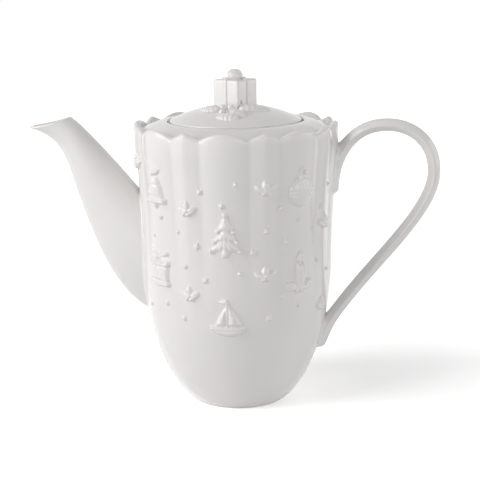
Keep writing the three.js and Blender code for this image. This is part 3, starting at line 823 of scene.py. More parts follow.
    def build(self) -> Shape:
        """Makes the spout.

        Returns:
            The space of its bore, which the wall is cut by.
        """
        out = np.array([-math.sin(self.mouth_tilt), 0, math.cos(self.mouth_tilt)])
        outer_grid = self.lines(0, 0)
        inner_grid = self.lines(self.thickness, self.lip)
        seam, outer = self.from_wall(outer_grid, 0, self.fillets(), self.rows)
        _, inner = self.from_wall(inner_grid, -self.sunk, 0 * self.fillets(), self.rows)
        lip = []
        for turn in np.linspace(0, math.pi, self.lip_rows + 1)[1:-1]:
            share = (1 - math.cos(turn)) / 2
            between = outer[-1] * (1 - share) + inner[-1] * share
            lip.append(between + out * self.lip / 2 * math.sin(turn))
        rings = [*self.root(seam, outer[0]), *outer, *lip, *inner[::-1]]
        self.add("spout_porcelain", loft(rings, Ends.JOINED), "spout")
        return loft(list(inner_grid[: self.bore_sections]), Ends.CAPPED)


@dataclass
class Handle(Assembly):
    """One strap bent to a loop, with a tail up the wall, a long slope and a foot on the bowl."""

    wall: Wall = field(default_factory=Wall)
    thickness: float = 8.3 * MM
    width: float = 12 * MM
    reach_drop: float = 32 * MM
    clear: float = 0.05 * MM
    crest_out: float = 35 * MM
    crest_drop: float = 2.6 * MM
    tail_drop: float = 43.5 * MM
    tail_sink: float = 1.3 * MM
    landing_z: float = 55.6 * MM
    landing_out: float = 1.2 * MM
    foot_z: float = 37.6 * MM
    foot_out: float = 0.6 * MM
    ridge: float = 1.65
    fillet: float = 4 * MM
    sunk: float = 1.8 * MM
    tail_pull: tuple[float, float] = (0.6 * MM, 21 * MM)
    crest_inner_pull: tuple[float, float] = (-22.5 * MM, 0)
    crest_outer_pull: tuple[float, float] = (17.2 * MM, 0)
    far_upper_pull: tuple[float, float] = (0, 17.5 * MM)
    far_lower_pull: tuple[float, float] = (0.8 * MM, -26.5 * MM)
    landing_upper_pull: tuple[float, float] = (25 * MM, 37.5 * MM)
    landing_lower_pull: tuple[float, float] = (-4 * MM, -5.4 * MM)
    foot_pull: tuple[float, float] = (2.6 * MM, 5.4 * MM)
    sections: int = 240
    sides: int = 56
    end_rows: int = 9

    def path(self) -> Array:
        """The strap's middle line.

        Returns:
            Distances from the axis and heights.
        """
        rim = self.wall.rim_z
        base = self.wall.radius_at_bowl
        tail_z = rim - self.tail_drop
        stops = [
            np.array([self.wall.reach(tail_z) - self.tail_sink, tail_z]),
            np.array([base + self.crest_out, rim - self.crest_drop]),
            np.array([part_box("handle")[1].x - self.thickness / 2 - self.clear, rim - self.reach_drop]),
            np.array([base + self.landing_out, self.landing_z]),
            np.array([self.wall.reach(self.foot_z) + self.foot_out, self.foot_z]),
        ]
        pulls = [
            (self.tail_pull, self.crest_inner_pull),
            (self.crest_outer_pull, self.far_upper_pull),
            (self.far_lower_pull, self.landing_upper_pull),
            (self.landing_lower_pull, self.foot_pull),
        ]
        bends = [
            Spout.bend(start, leave, arrive, end)
            for start, end, (leave, arrive) in zip(stops, stops[1:], pulls)
        ]
        return evenly(np.concatenate(bends), self.sections)

    def section(self, centre: Array, along: Array, scale: float) -> tuple[Array, Array]:
        """One section of the strap.

        Args:
            centre: Distance from the axis and height of its middle.
            along: Direction of the strap there.
            scale: Its size as a share of the full section.

        Returns:
            The section's points, and for each the direction away from the middle.
        """
        turn = circle(self.sides)
        cos, sin = np.cos(turn), np.sin(turn)
        across = cos * self.width / 2
        through = np.sign(sin) * np.abs(sin) ** self.ridge * self.thickness / 2
        normal = np.array([-along[1], along[0]])
        offset = np.stack([normal[0] * through, across, normal[1] * through], axis=1)
        return np.array([centre[0], 0, centre[1]]) + offset * scale, unit(offset)

    def settled(self, points: Array, away: Array) -> Array:
        """Spreads the strap where it nears the wall and keeps its back inside the wall.

        Args:
            points: Points of one section.
            away: Directions away from the section's middle.

        Returns:
            The points in their place.
        """
        angle = np.arctan2(points[:, 1], points[:, 0])
        normal = self.wall.normal(angle, points[:, 2])
        flat = away - normal * (away * normal).sum(1, keepdims=True)
        near = np.clip(1 - self.wall.clearance(points) / self.fillet, 0, 1)
        spread = self.fillet * (1 - np.sqrt(1 - near**2))
        points = points + flat * spread[:, None]
        deep = self.wall.clearance(points) < -self.sunk
        return np.where(deep[:, None], self.wall.on_wall(points, -self.sunk), points)

    def build(self) -> None:
        """Makes the handle with rounded ends."""
        path = self.path()
        along = unit(np.gradient(path, axis=0))
        stations = [(centre, direction, 1.0) for centre, direction in zip(path, along)]
        for turn in np.linspace(0, math.pi / 2, self.end_rows)[1:-1]:
            beyond = math.sin(turn) * self.thickness / 2
            stations.insert(0, (path[0] - along[0] * beyond, along[0], math.cos(turn)))
            stations.append((path[-1] + along[-1] * beyond, along[-1], math.cos(turn)))
        rings = [self.settled(*self.section(*station)) for station in stations]
        self.add("handle_porcelain", loft(rings, Ends.CAPPED), "handle")


# The applied relief


class Drawing:
    """A relief drawn on a grid as raised forms and cut lines, in millimetres across and up."""

    step = 0.3
    margin = 1.5
    foot = 0.25
    spread = 0.9
    boost = 1.3
    soft_passes = 4
    leaf_points = 13
    leaf_bulge = 0.45
    leaf_edge = 0.45
    vein_end = 0.6
    vein_depth = 0.45
    vein_width = 0.35

    def __init__(self, width: float, low: float, high: float) -> None:
        """Starts an empty drawing.

        Args:
            width: Width of the motif.
            low: Its lowest place.
            high: Its highest place.
        """
        across = np.arange(-width / 2 - self.margin, width / 2 + self.margin, self.step)
        upward = np.arange(low - self.margin, high + self.margin, self.step)
        self.u, self.v = np.meshgrid(across, upward)
        self.edge = np.full_like(self.u, FAR)
        self.rise = np.zeros_like(self.u)

    def form(self, distance: Array, height: float, edge: float) -> None:
        """Raises a form with a rounded edge.

        Args:
            distance: Distance outside the form's outline.
            height: Its height off the wall.
            edge: Width of the rounding.
        """
        share = np.clip(-distance / edge, 0, 1)
        self.rise = np.maximum(self.rise, height * np.sqrt(1 - (1 - share) ** 2))
        self.edge = np.minimum(self.edge, distance)

    def cut(self, distance: Array, depth: float, width: float) -> None:
        """Presses a soft line into what is there, along places at no distance."""
        pressed = np.minimum(depth, self.rise) * np.exp(-((distance / width) ** 2))
        self.rise = self.rise - pressed

    def disc(self, x: float, y: float, radius: float) -> Array:
        """Distance outside a disc."""
        return np.hypot(self.u - x, self.v - y) - radius

    def ring(self, x: float, y: float, radius: float, half: float) -> Array:
        """Distance outside a ring of the given half width."""
        return np.abs(self.disc(x, y, radius)) - half

    def plate(self, x: float, y: float, width: float, height: float, corner: float = 0.6) -> Array:
        """Measures from a plate with rounded corners.

        Args:
            x: Its middle, across.
            y: Its middle, up.
            width: Its width.
            height: Its height.
            corner: Radius of its corners.

        Returns:
            Distance outside the plate.
        """
        beside = np.abs(self.u - x) - width / 2 + corner
        above = np.abs(self.v - y) - height / 2 + corner
        outside = np.hypot(np.maximum(beside, 0), np.maximum(above, 0))
        return outside + np.minimum(np.maximum(beside, above), 0) - corner

    def stroke(self, *places: tuple[float, float]) -> Array:
        """Measures from a line.

        Args:
            places: The places that it runs through.

        Returns:
            Distance from the line.
        """
        best = np.full_like(self.u, FAR)
        for start, end in zip(places, places[1:]):
            along = np.subtract(end, start)
            length = float(along @ along) or FAR
            share = ((self.u - start[0]) * along[0] + (self.v - start[1]) * along[1]) / length
            share = np.clip(share, 0, 1)
            beside = self.u - start[0] - share * along[0]
            above = self.v - start[1] - share * along[1]
            best = np.minimum(best, np.hypot(beside, above))
        return best

    def outline(self, places: Sequence[Sequence[float]]) -> Array:
        """Measures from a closed outline.

        Args:
            places: The places that it runs through.

        Returns:
            Distance outside the outline.
        """
        inside = np.zeros(self.u.shape, bool)
        loop = [tuple(place) for place in places]
        for start, end in zip(loop, loop[1:] + loop[:1]):
            rise = (end[1] - start[1]) or FAR
            crossing = start[0] + (end[0] - start[0]) * (self.v - start[1]) / rise
            inside ^= ((start[1] > self.v) != (end[1] > self.v)) & (self.u < crossing)
        gap = self.stroke(*loop, loop[0])
        return np.where(inside, -gap, gap)

    def leaf(
        self, x: float, y: float, angle: float, length: float, width: float, height: float
    ) -> None:
        """Raises a pointed leaf with a pressed midrib.

        Args:
            x: Where the leaf starts, across.
            y: Where it starts, up.
            angle: Its direction.
            length: Its length.
            width: Its width at the widest place.
            height: Its height off the wall.
        """
        along = np.array([math.cos(angle), math.sin(angle)])
        side = np.array([-along[1], along[0]])
        start = np.array([x, y])
        tip = start + along * length
        bulge = start + along * length * self.leaf_bulge
        shares = np.linspace(0, 1, self.leaf_points)[:-1]
        left = bezier([start, bulge + side * width, tip], shares)
        right = bezier([tip, bulge - side * width, start], shares)
        self.form(self.outline(np.concatenate([left, right])), height, width * self.leaf_edge)
        vein = self.stroke(tuple(start + along), tuple(tip - along * self.vein_end))
        self.cut(vein, height * self.vein_depth, self.vein_width)

    def lift(self) -> Array:
        """The finished drawing.

        Returns:
            Its height off the wall, negative where there is none of it.
        """
        outside = np.maximum(self.edge, 0)
        foot = self.foot * np.clip(1 - outside / self.spread, 0, 1) ** 2
        lift = np.maximum(self.rise, 0) * self.boost + foot - np.maximum(outside - self.spread, 0)
        for _ in range(self.soft_passes):
            wide = np.pad(lift, 1, mode="edge")
            tall = (wide[:-2] + 2 * wide[1:-1] + wide[2:]) / 4
            lift = (tall[:, :-2] + 2 * tall[:, 1:-1] + tall[:, 2:]) / 4
        return lift


def draw_bell() -> Drawing:
    """A bell with a moulded rim, a clapper and a small bow.

    Returns:
        The drawing.
    """
    page = Drawing(19.5, -13.5, 13)
    side = bezier([(9.1, -7.8), (5.7, -4.4), (6.8, 7.2), (0, 8.5)], np.linspace(0, 1, 16))
    page.form(page.disc(0, -10.4, 2.3), 1.5, 2)
    page.form(page.outline(np.concatenate([side, side[::-1] * (-1, 1)])), 2.0, 5.5)
    page.form(page.plate(0, -7.8, 19, 3.2, 1.5), 2.3, 1.5)
    for height in (-4.6, 2.6):
        page.cut(page.v - height, 0.5, 0.45)
    page.cut(page.v + 6.1, 0.5, 0.4)
    for direction in (-1, 1):
        page.leaf(0, 9.4, math.pi / 2 - direction * 1.15, 6.4, 3.2, 1.5)
    page.form(page.disc(0, 9.4, 1.7), 1.9, 1.4)
    return page


def draw_drum() -> Drawing:
    """A side drum with laced cords and two sticks.

    Returns:
        The drawing.
    """
    page = Drawing(22, -9, 14)
    for direction in (-1, 1):
        page.form(page.stroke((-9 * direction, 7), (7 * direction, 12.4)) - 0.75, 1.1, 0.8)
        page.form(page.disc(7.4 * direction, 12.6, 1.3), 1.5, 1.2)
    page.form(page.plate(0, -0.6, 17, 12.6, 1), 1.5, 4)
    page.cut(np.abs(page.v + 0.6) - 4.6, 0.5, 0.5)
    lacing = [(-7.8 + 2.6 * step, 3.6 if step % 2 else -4.8) for step in range(7)]
    page.form(page.stroke(*lacing) - 0.55, 2.0, 0.7)
    for height in (5.8, -7):
        page.form(page.plate(0, height, 18.8, 3, 1.4), 2.2, 1.4)
    page.cut(page.v - 5.8, 0.3, 0.4)
    page.cut(page.v + 7, 0.3, 0.4)
    return page


def draw_tree() -> Drawing:
    """A small fir in three tiers with round fruits.

    Returns:
        The drawing.
    """
    page = Drawing(20, -12.6, 15)
    page.form(page.plate(0, -10.4, 3.9, 4.6), 1.3, 1.4)
    tiers = ((-9.1, 19.5, 1.6, 1.3), (-3.2, 15.6, 6.6, 1.7), (3.2, 11.2, 13, 2.1))
    for base, width, top, height in tiers:
        half = width / 2
        hem = [(half - width * step / 12, base + (0.9 if step % 2 else -0.5)) for step in range(13)]
        page.form(page.outline([(0, top), *hem]), height, 3)
        for share in (-0.6, -0.2, 0.2, 0.6):
            end = (share * half * 0.35, base + (top - base) * 0.62)
            page.cut(page.stroke((share * half, base), end), 0.35, 0.4)
    for x, y in ((-9, -9.4), (9, -9.4), (-7, -3.4), (7, -3.4), (-4.8, 3), (4.8, 3), (0, 13.4)):
        page.form(page.disc(x, y, 1.3), 1.9, 1.2)
    return page


def draw_candle() -> Drawing:
    """A candle on a dish with a flame and two leaves.

    Returns:
        The drawing.
    """
    page = Drawing(24, -13, 15.5)
    for direction in (-1, 1):
        page.leaf(1.2 * direction, -9.4, math.pi / 2 - direction * 1.2, 11, 5.6, 1.5)
    page.form(page.plate(0, -0.6, 6, 14.4, 0.8), 1.9, 3)
    for x, low in ((-2, 1.4), (0.4, 3.4), (2.2, 2)):
        page.form(page.stroke((x, 6), (x, low)) - 0.75, 2.3, 0.8)
    page.leaf(0, 6.6, math.pi / 2, 8.2, 4.6, 1.9)
    page.form(page.plate(0, -8.6, 14.3, 3.1, 1.4), 2.2, 1.5)
    page.cut(page.v + 8.6, 0.3, 0.4)
    for x in (-2.6, 0, 2.6):
        page.form(page.disc(x, -11.2, 1.2), 1.7, 1.1)
    return page


def draw_boat() -> Drawing:
    """A sailing boat with planks, two sails and a pennant.

    Returns:
        The drawing.
    """
    page = Drawing(22, -11.5, 15)
    page.form(page.stroke((0.2, -5), (0.2, 13)) - 0.7, 1.3, 0.8)
    page.form(page.outline([(0.2, 14), (0.2, 11), (-5, 12.5)]), 1.3, 1)
    page.form(page.outline([(1, -2.9), (9.4, -2.9), (5.4, 4), (1, 11)]), 2.1, 4)
    page.form(page.outline([(-7.4, -2.9), (-0.7, -2.9), (-0.7, 8.6), (-4.6, 2.6)]), 1.8, 3.2)
    for height in (0.4, 3.8):
        page.cut(page.v - height, 0.3, 0.35)
    controls = [(-10.4, -4.4), (-8, -10.6), (0, -10.4), (4, -10.4), (8, -10.4), (10.4, -4.4)]
    page.form(page.outline(bezier(controls, np.linspace(0, 1, 20))), 2.1, 3.6)
    page.form(page.stroke((-10.2, -4.5), (10.2, -4.5)) - 0.8, 2.2, 0.9)
    for height in (-6.6, -8.4):
        page.cut(page.v - height, 0.4, 0.3)
    return page


def draw_bauble() -> Drawing:
    """A round glass ball with a belt, a cap and a ring to hang it by.

    Returns:
        The drawing.
    """
    page = Drawing(19, -11.6, 14)
    page.form(page.ring(0, 11.2, 1.7, 0.65), 1.3, 0.7)
    page.form(page.disc(0, -2, 9.1), 2.5, 8)
    for height in (0.3, -4.3):
        page.form(np.maximum(np.abs(page.v - height) - 0.55, page.disc(0, -2, 8.9)), 2.6, 0.7)
    for x in (-6, -3, 0, 3, 6):
        page.form(page.disc(x, -2, 1.15), 2.75, 1.6)
    for x in (-3, 0, 3):
        page.cut(page.stroke((x, 1.6), (x * 0.6, 5.4)), 0.4, 0.4)
        page.cut(page.stroke((x, -5.6), (x * 0.6, -9.4)), 0.4, 0.4)
    page.form(page.plate(0, 8.1, 5.6, 3.8, 0.7), 2.1, 1.4)
    for x in (-1.4, 0, 1.4):
        page.cut(np.maximum(np.abs(page.u - x), np.abs(page.v - 8.1) - 1.6), 0.4, 0.3)
    return page


def draw_spinning_top() -> Drawing:
    """A spinning top with bands and a pump handle.

    Returns:
        The drawing.
    """
    page = Drawing(20, -13, 15)
    page.form(page.stroke((0, 4), (0, 11)) - 1.3, 1.4, 1.2)
    page.form(page.disc(0, 12.2, 2.3), 1.9, 2)
    controls = [(0, -11.8), (3, -7), (9.6, -3.4), (9.2, 3.2), (7, 5.8), (0, 6.2)]
    right = bezier(controls, np.linspace(0, 1, 18))
    page.form(page.outline(np.concatenate([right, right[::-1] * (-1, 1)])), 2.3, 7)
    page.form(page.plate(0, 2.4, 17, 2.6, 1.2), 2.5, 1.3)
    for height, half in ((-2, 7.4), (-5.6, 5)):
        page.cut(np.maximum(np.abs(page.v - height), np.abs(page.u) - half), 0.6, 0.45)
    for x in (-5.4, -1.8, 1.8, 5.4):
        page.form(page.disc(x, -0.2, 0.9), 2.7, 1.2)
    return page


def draw_snowflake() -> Drawing:
    """A six-armed ice crystal with side branches.

    Returns:
        The drawing.
    """
    page = Drawing(24, -12, 12)
    for arm in range(6):
        angle = math.pi / 6 + arm * TURN / 6
        out = np.array([math.cos(angle), math.sin(angle)])
        page.form(page.stroke((0, 0), tuple(out * 11)) - 0.95, 1.7, 1)
        page.form(page.disc(*(out * 11), 1.3), 1.9, 1.2)
        for start, length in ((4.6, 3.6), (7.6, 2.8)):
            for bend in (-1, 1):
                turn = angle + bend * math.pi / 3.2
                end = out * start + np.array([math.cos(turn), math.sin(turn)]) * length
                page.form(page.stroke(tuple(out * start), tuple(end)) - 0.75, 1.5, 0.85)
    page.form(page.disc(0, 0, 3.4), 2.2, 2.6)
    page.cut(page.ring(0, 0, 1.9, 0), 0.4, 0.4)
    return page


def draw_sprig() -> Drawing:
    """Three leaves with three berries.

    Returns:
        The drawing.
    """
    page = Drawing(18, -3.2, 9.5)
    for angle in (30, 150, 90):
        page.leaf(0, 0, math.radians(angle), 8, 4, 1.5)
    for x, y in ((-1.4, -0.6), (1.4, -0.6), (0, 1.3)):
        page.form(page.disc(x, y, 1.25), 2.0, 1.2)
    return page


def draw_sparkle(scale: float) -> Drawing:
    """A four-pointed sparkle with a sharp ridge along each point.

    Args:
        scale: Its size as a share of the usual one.

    Returns:
        The drawing.
    """
    page = Drawing(7.2 * scale, -3.6 * scale, 3.6 * scale)
    spread = (np.sqrt(np.abs(page.u)) + np.sqrt(np.abs(page.v))) ** 2 - 3.4 * scale
    page.edge = np.where(spread > 0, spread * 0.6, spread)
    page.rise = np.clip(-spread / (3.4 * scale), 0, 1) ** 0.8 * 1.5
    return page


def draw_dot(scale: float) -> Drawing:
    """A round bead.

    Args:
        scale: Its size as a share of the usual one.

    Returns:
        The drawing.
    """
    page = Drawing(2.6 * scale, -1.3 * scale, 1.3 * scale)
    page.form(page.disc(0, 0, 1.1 * scale), 1.1, 1.1 * scale)
    return page


class Motif(Enum):
    """The motifs of the relief that are pieces of their own, each with the function that draws it."""

    BELL = (draw_bell,)
    DRUM = (draw_drum,)
    TREE = (draw_tree,)
    BOAT = (draw_boat,)
    BAUBLE = (draw_bauble,)
    CANDLE = (draw_candle,)
    SPINNING_TOP = (draw_spinning_top,)
    SNOWFLAKE = (draw_snowflake,)
    SPRIG = (draw_sprig,)

    def draw(self) -> Drawing:
        """Draws the motif."""
        artist: Callable[[], Drawing] = self.value[0]
        return artist()


class Filler(Enum):
    """The small forms between the motifs, each with the function that draws it."""

    SPARKLE = (draw_sparkle,)
    DOT = (draw_dot,)

    def draw(self, scale: float) -> Drawing:
        """Draws the form in a share of its usual size."""
        artist: Callable[[float], Drawing] = self.value[0]
        return artist(scale)


@dataclass(frozen=True)
class Place:
    """Where a motif sits: half flutes from the handle, and rows down from the top one."""

    motif: Motif
    side: Side
    half_flutes: float
    row: float

    def node(self) -> str:
        """Name of the CAD node at this place."""
        return f"relief_{self.motif.name.lower()}_{self.side.name.lower()}"


@dataclass
class Relief(Assembly):
    """The ornaments that are pressed in moulds and luted to the wall, with small beads between them."""

    wall: Wall = field(default_factory=Wall)
    top_row_drop: float = 36 * MM
    row_pitch: float = 27 * MM
    back: float = 1.0 * MM
    kept: float = -0.3
    filler_count: int = 150
    filler_low: float = 62 * MM
    filler_high: float = 156 * MM
    filler_gap: float = 7.5 * MM
    motif_room: float = 18 * MM
    sprig_room: float = 12.5 * MM
    spout_room: float = math.radians(30)
    handle_room: float = math.radians(12)
    golden_turn: float = math.pi * (3 - math.sqrt(5))
    dot_every: int = 3
    filler_scale: float = 0.85
    filler_growth: float = 0.15
    filler_sizes: int = 4
    pool_and_shade_height: float = 0.3
    thin_height: float = 4
    thin_most: float = 0.5
    motifs: tuple[Place, ...] = (
        Place(Motif.BELL, Side.FRONT, -6, 0),
        Place(Motif.DRUM, Side.FRONT, -6, 2),
        Place(Motif.TREE, Side.FRONT, -4, 1),
        Place(Motif.BOAT, Side.FRONT, -4, 3),
        Place(Motif.BAUBLE, Side.FRONT, -2, 0),
        Place(Motif.CANDLE, Side.FRONT, -2, 2),
        Place(Motif.SPINNING_TOP, Side.BACK, 2, 0),
        Place(Motif.TREE, Side.BACK, 2, 2),
        Place(Motif.SNOWFLAKE, Side.BACK, 4, 1),
        Place(Motif.BELL, Side.BACK, 4, 3),
        Place(Motif.DRUM, Side.BACK, 6, 0),
        Place(Motif.BAUBLE, Side.BACK, 6, 2),
    )
    sprigs: tuple[tuple[float, float], ...] = (
        (1, 1), (1, 3), (3, 0), (3, 2), (5, 0.5), (5, 2.5), (7, -0.4),
    )

    def spot(self, half_flutes: float, row: float) -> tuple[float, float]:
        """Angle and height of a place on the wall."""
        angle = half_flutes * math.pi / self.wall.flutes
        return angle, self.wall.rim_z - self.top_row_drop - row * self.row_pitch

    def patch(
        self, page: Drawing, angle: float, height: float, tilt: float = 0.0
    ) -> tuple[Shape, Array]:
        """Lays a drawing on the wall as a closed piece.

        Args:
            page: The drawing.
            angle: Where its middle lies round the pot.
            height: Height of its middle.
            tilt: How far it is turned on the wall.

        Returns:
            The shape, and how the glaze lies at each of its points, with painted shade round the foot of
            its forms.
        """
        lift = page.lift()
        around = [lift[:-1, :-1], lift[1:, :-1], lift[:-1, 1:], lift[1:, 1:]]
        cells = np.maximum.reduce(around) > self.kept
        across = (page.u * math.cos(tilt) - page.v * math.sin(tilt)) * MM
        upward = height + (page.u * math.sin(tilt) + page.v * math.cos(tilt)) * MM
        turn = angle + across / self.wall.reach(np.array(height))
        base = ring_at(turn.ravel(), self.wall.radius(turn, upward).ravel(), upward.ravel())
        normal = self.wall.normal(turn, upward).reshape(-1, 3)
        front = base + normal * (lift.ravel() * MM)[:, None]
        points = np.concatenate([front, base - normal * self.back])
        count = lift.size
        index = np.arange(count).reshape(lift.shape)
        corners = np.stack(
            [index[:-1, :-1], index[:-1, 1:], index[1:, 1:], index[1:, :-1]], axis=-1
        )
        chosen = corners[cells]
        faces = [chosen, chosen[:, ::-1] + count]
        padded = np.pad(cells, 1)
        beside = {
            (0, 1): padded[:-2, 1:-1],
            (1, 2): padded[1:-1, 2:],
            (2, 3): padded[2:, 1:-1],
            (3, 0): padded[1:-1, :-2],
        }
        for (first, second), neighbour in beside.items():
            edge = corners[cells & ~neighbour]
            start, end = edge[:, first], edge[:, second]
            faces.append(np.stack([end, start, start + count, end + count], axis=1))
        quads = np.concatenate(faces)
        used, compact = np.unique(quads, return_inverse=True)
        # Painted shade: the foot of each form and the wall round it are darkened as pooled glaze; the
        # high parts get thin glaze.
        pool_and_shade = np.exp(-((lift / self.pool_and_shade_height) ** 2))
        thin = np.clip(lift / self.thin_height, 0, self.thin_most)
        glaze = np.concatenate([pool_and_shade - thin, 0 * lift]).ravel()
        return Shape(points[used], compact.reshape(quads.shape).tolist()), glaze[used]

    def build_motifs(self) -> None:
        """Makes the large motifs and the sprigs, one piece each."""
        for place in self.motifs:
            shape, glaze = self.patch(place.motif.draw(), *self.spot(place.half_flutes, place.row))
            set_glaze_and_shade(self.add(f"{place.node()}_porcelain", shape, place.node()), glaze)
        for side, sign in ((Side.FRONT, -1), (Side.BACK, 1)):
            for number, (half_flutes, row) in enumerate(self.sprigs, 1):
                node = f"relief_sprig_{side.name.lower()}_{number}"
                shape, glaze = self.patch(Motif.SPRIG.draw(), *self.spot(sign * half_flutes, row))
                set_glaze_and_shade(self.add(f"{node}_porcelain", shape, node), glaze)

    def filler_spots(self) -> list[tuple[float, float]]:
        """Spreads the small fillers evenly and keeps them clear of all else.

        Returns:
            Angle and height of each.
        """
        taken = [(*self.spot(place.half_flutes, place.row), self.motif_room) for place in self.motifs]
        for half_flutes, row in self.sprigs:
            for sign in (-1, 1):
                taken.append((*self.spot(sign * half_flutes, row), self.sprig_room))
        spots: list[tuple[float, float]] = []
        for step in range(self.filler_count):
            angle = (step * self.golden_turn + math.pi) % TURN - math.pi
            share = (step + 0.5) / self.filler_count
            height = self.filler_low + (self.filler_high - self.filler_low) * share
            at_spout = abs(angle) > math.pi - self.spout_room
            if at_spout or abs(angle) < self.handle_room:
                continue
            for other, level, room in taken:
                apart = (angle - other + math.pi) % TURN - math.pi
                if math.hypot(apart * self.wall.collar_radius, height - level) < room:
                    break
            else:
                spots.append((angle, height))
                taken.append((angle, height, self.filler_gap))
        return spots

    def build_fillers(self) -> None:
        """Makes the sparkles and beads between the motifs."""
        groups: dict[Filler, list[tuple[Shape, Array]]] = {filler: [] for filler in Filler}
        for step, (angle, height) in enumerate(self.filler_spots(), 1):
            filler = Filler.SPARKLE if step % self.dot_every else Filler.DOT
            scale = self.filler_scale + self.filler_growth * ((step - 1) % self.filler_sizes)
            tilt = (step - 1) * self.golden_turn
            groups[filler].append(self.patch(filler.draw(scale), angle, height, tilt))
        for filler, patches in groups.items():
            whole = patches[0][0]
            for shape, _ in patches[1:]:
                whole = whole.joined(shape)
            glaze = np.concatenate([glaze for _, glaze in patches])
            set_glaze_and_shade(self.add(f"wall_{filler.name.lower()}s", whole), glaze)

    def build(self) -> None:
        """Makes all the relief."""
        self.build_motifs()
        self.build_fillers()


# The lid


@dataclass
class Lid(Assembly):
    """The shallow dome and the deep ring below it that holds it in the mouth."""

    body: Body = Body.LID
    edge_round: float = 1.3 * MM
    edge_height: float = 3.7 * MM
    rise: float = 9.3 * MM
    thickness: float = 4 * MM
    vent: float = 5 * MM
    flange_thickness: float = 3.3 * MM
    flange_round: float = 1.2 * MM
    overlap: float = 1 * MM
    foot_round: float = 0.5 * MM
    columns: int = 192
    dome_steps: int = 40
    edge_rows: int = 8

    def __post_init__(self) -> None:
        """Takes the lid's reach and height from the frame."""
        low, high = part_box("lid_cover")
        self.radius = high.x
        self.foot_z = low.z
        self.span = self.radius - self.edge_round
        self.top_z = self.foot_z + self.edge_height + self.rise
        self.ball = (self.span**2 + self.rise**2) / (2 * self.rise)

    def dome(self, reach: Array) -> Array:
        """Height of the dome at a distance from its axis."""
        return self.top_z - self.ball + np.sqrt(self.ball**2 - np.minimum(reach, self.radius) ** 2)

    def build(self) -> None:
        """Makes the cover and the flange."""
        flange_low, flange_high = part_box("lid_flange")
        bore = flange_high.x - self.flange_thickness
        outward = np.linspace(self.vent, self.span, self.dome_steps)
        upper = np.stack([outward, self.dome(outward)], axis=1)
        edge_z = self.foot_z + self.edge_height
        inward = np.linspace(bore, self.vent, self.dome_steps)
        under = np.stack([inward, self.dome(inward) - self.thickness], axis=1)
        turn = np.linspace(0, math.pi / 2, self.edge_rows)[1:]
        edge = np.stack(
            [
                self.span + self.edge_round * np.sin(turn),
                edge_z - self.edge_round + self.edge_round * np.cos(turn),
            ],
            axis=1,
        )
        foot = rounded(
            [
                (self.radius, self.foot_z, self.foot_round),
                (bore, self.foot_z, self.foot_round),
                (bore, edge_z, 0),
            ]
        )
        cover = np.concatenate([upper, edge, foot[:-1], under])
        self.add("lid_cover_porcelain", revolve(cover, self.columns), "lid_cover")
        flange = rounded(
            [
                (bore, flange_low.z, self.flange_round),
                (flange_high.x, flange_low.z, self.flange_round),
                (flange_high.x, flange_high.z + self.overlap, 0),
                (bore, flange_high.z + self.overlap, 0),
            ]
        )
        self.add("lid_flange_porcelain", revolve(flange, self.columns), "lid_flange")


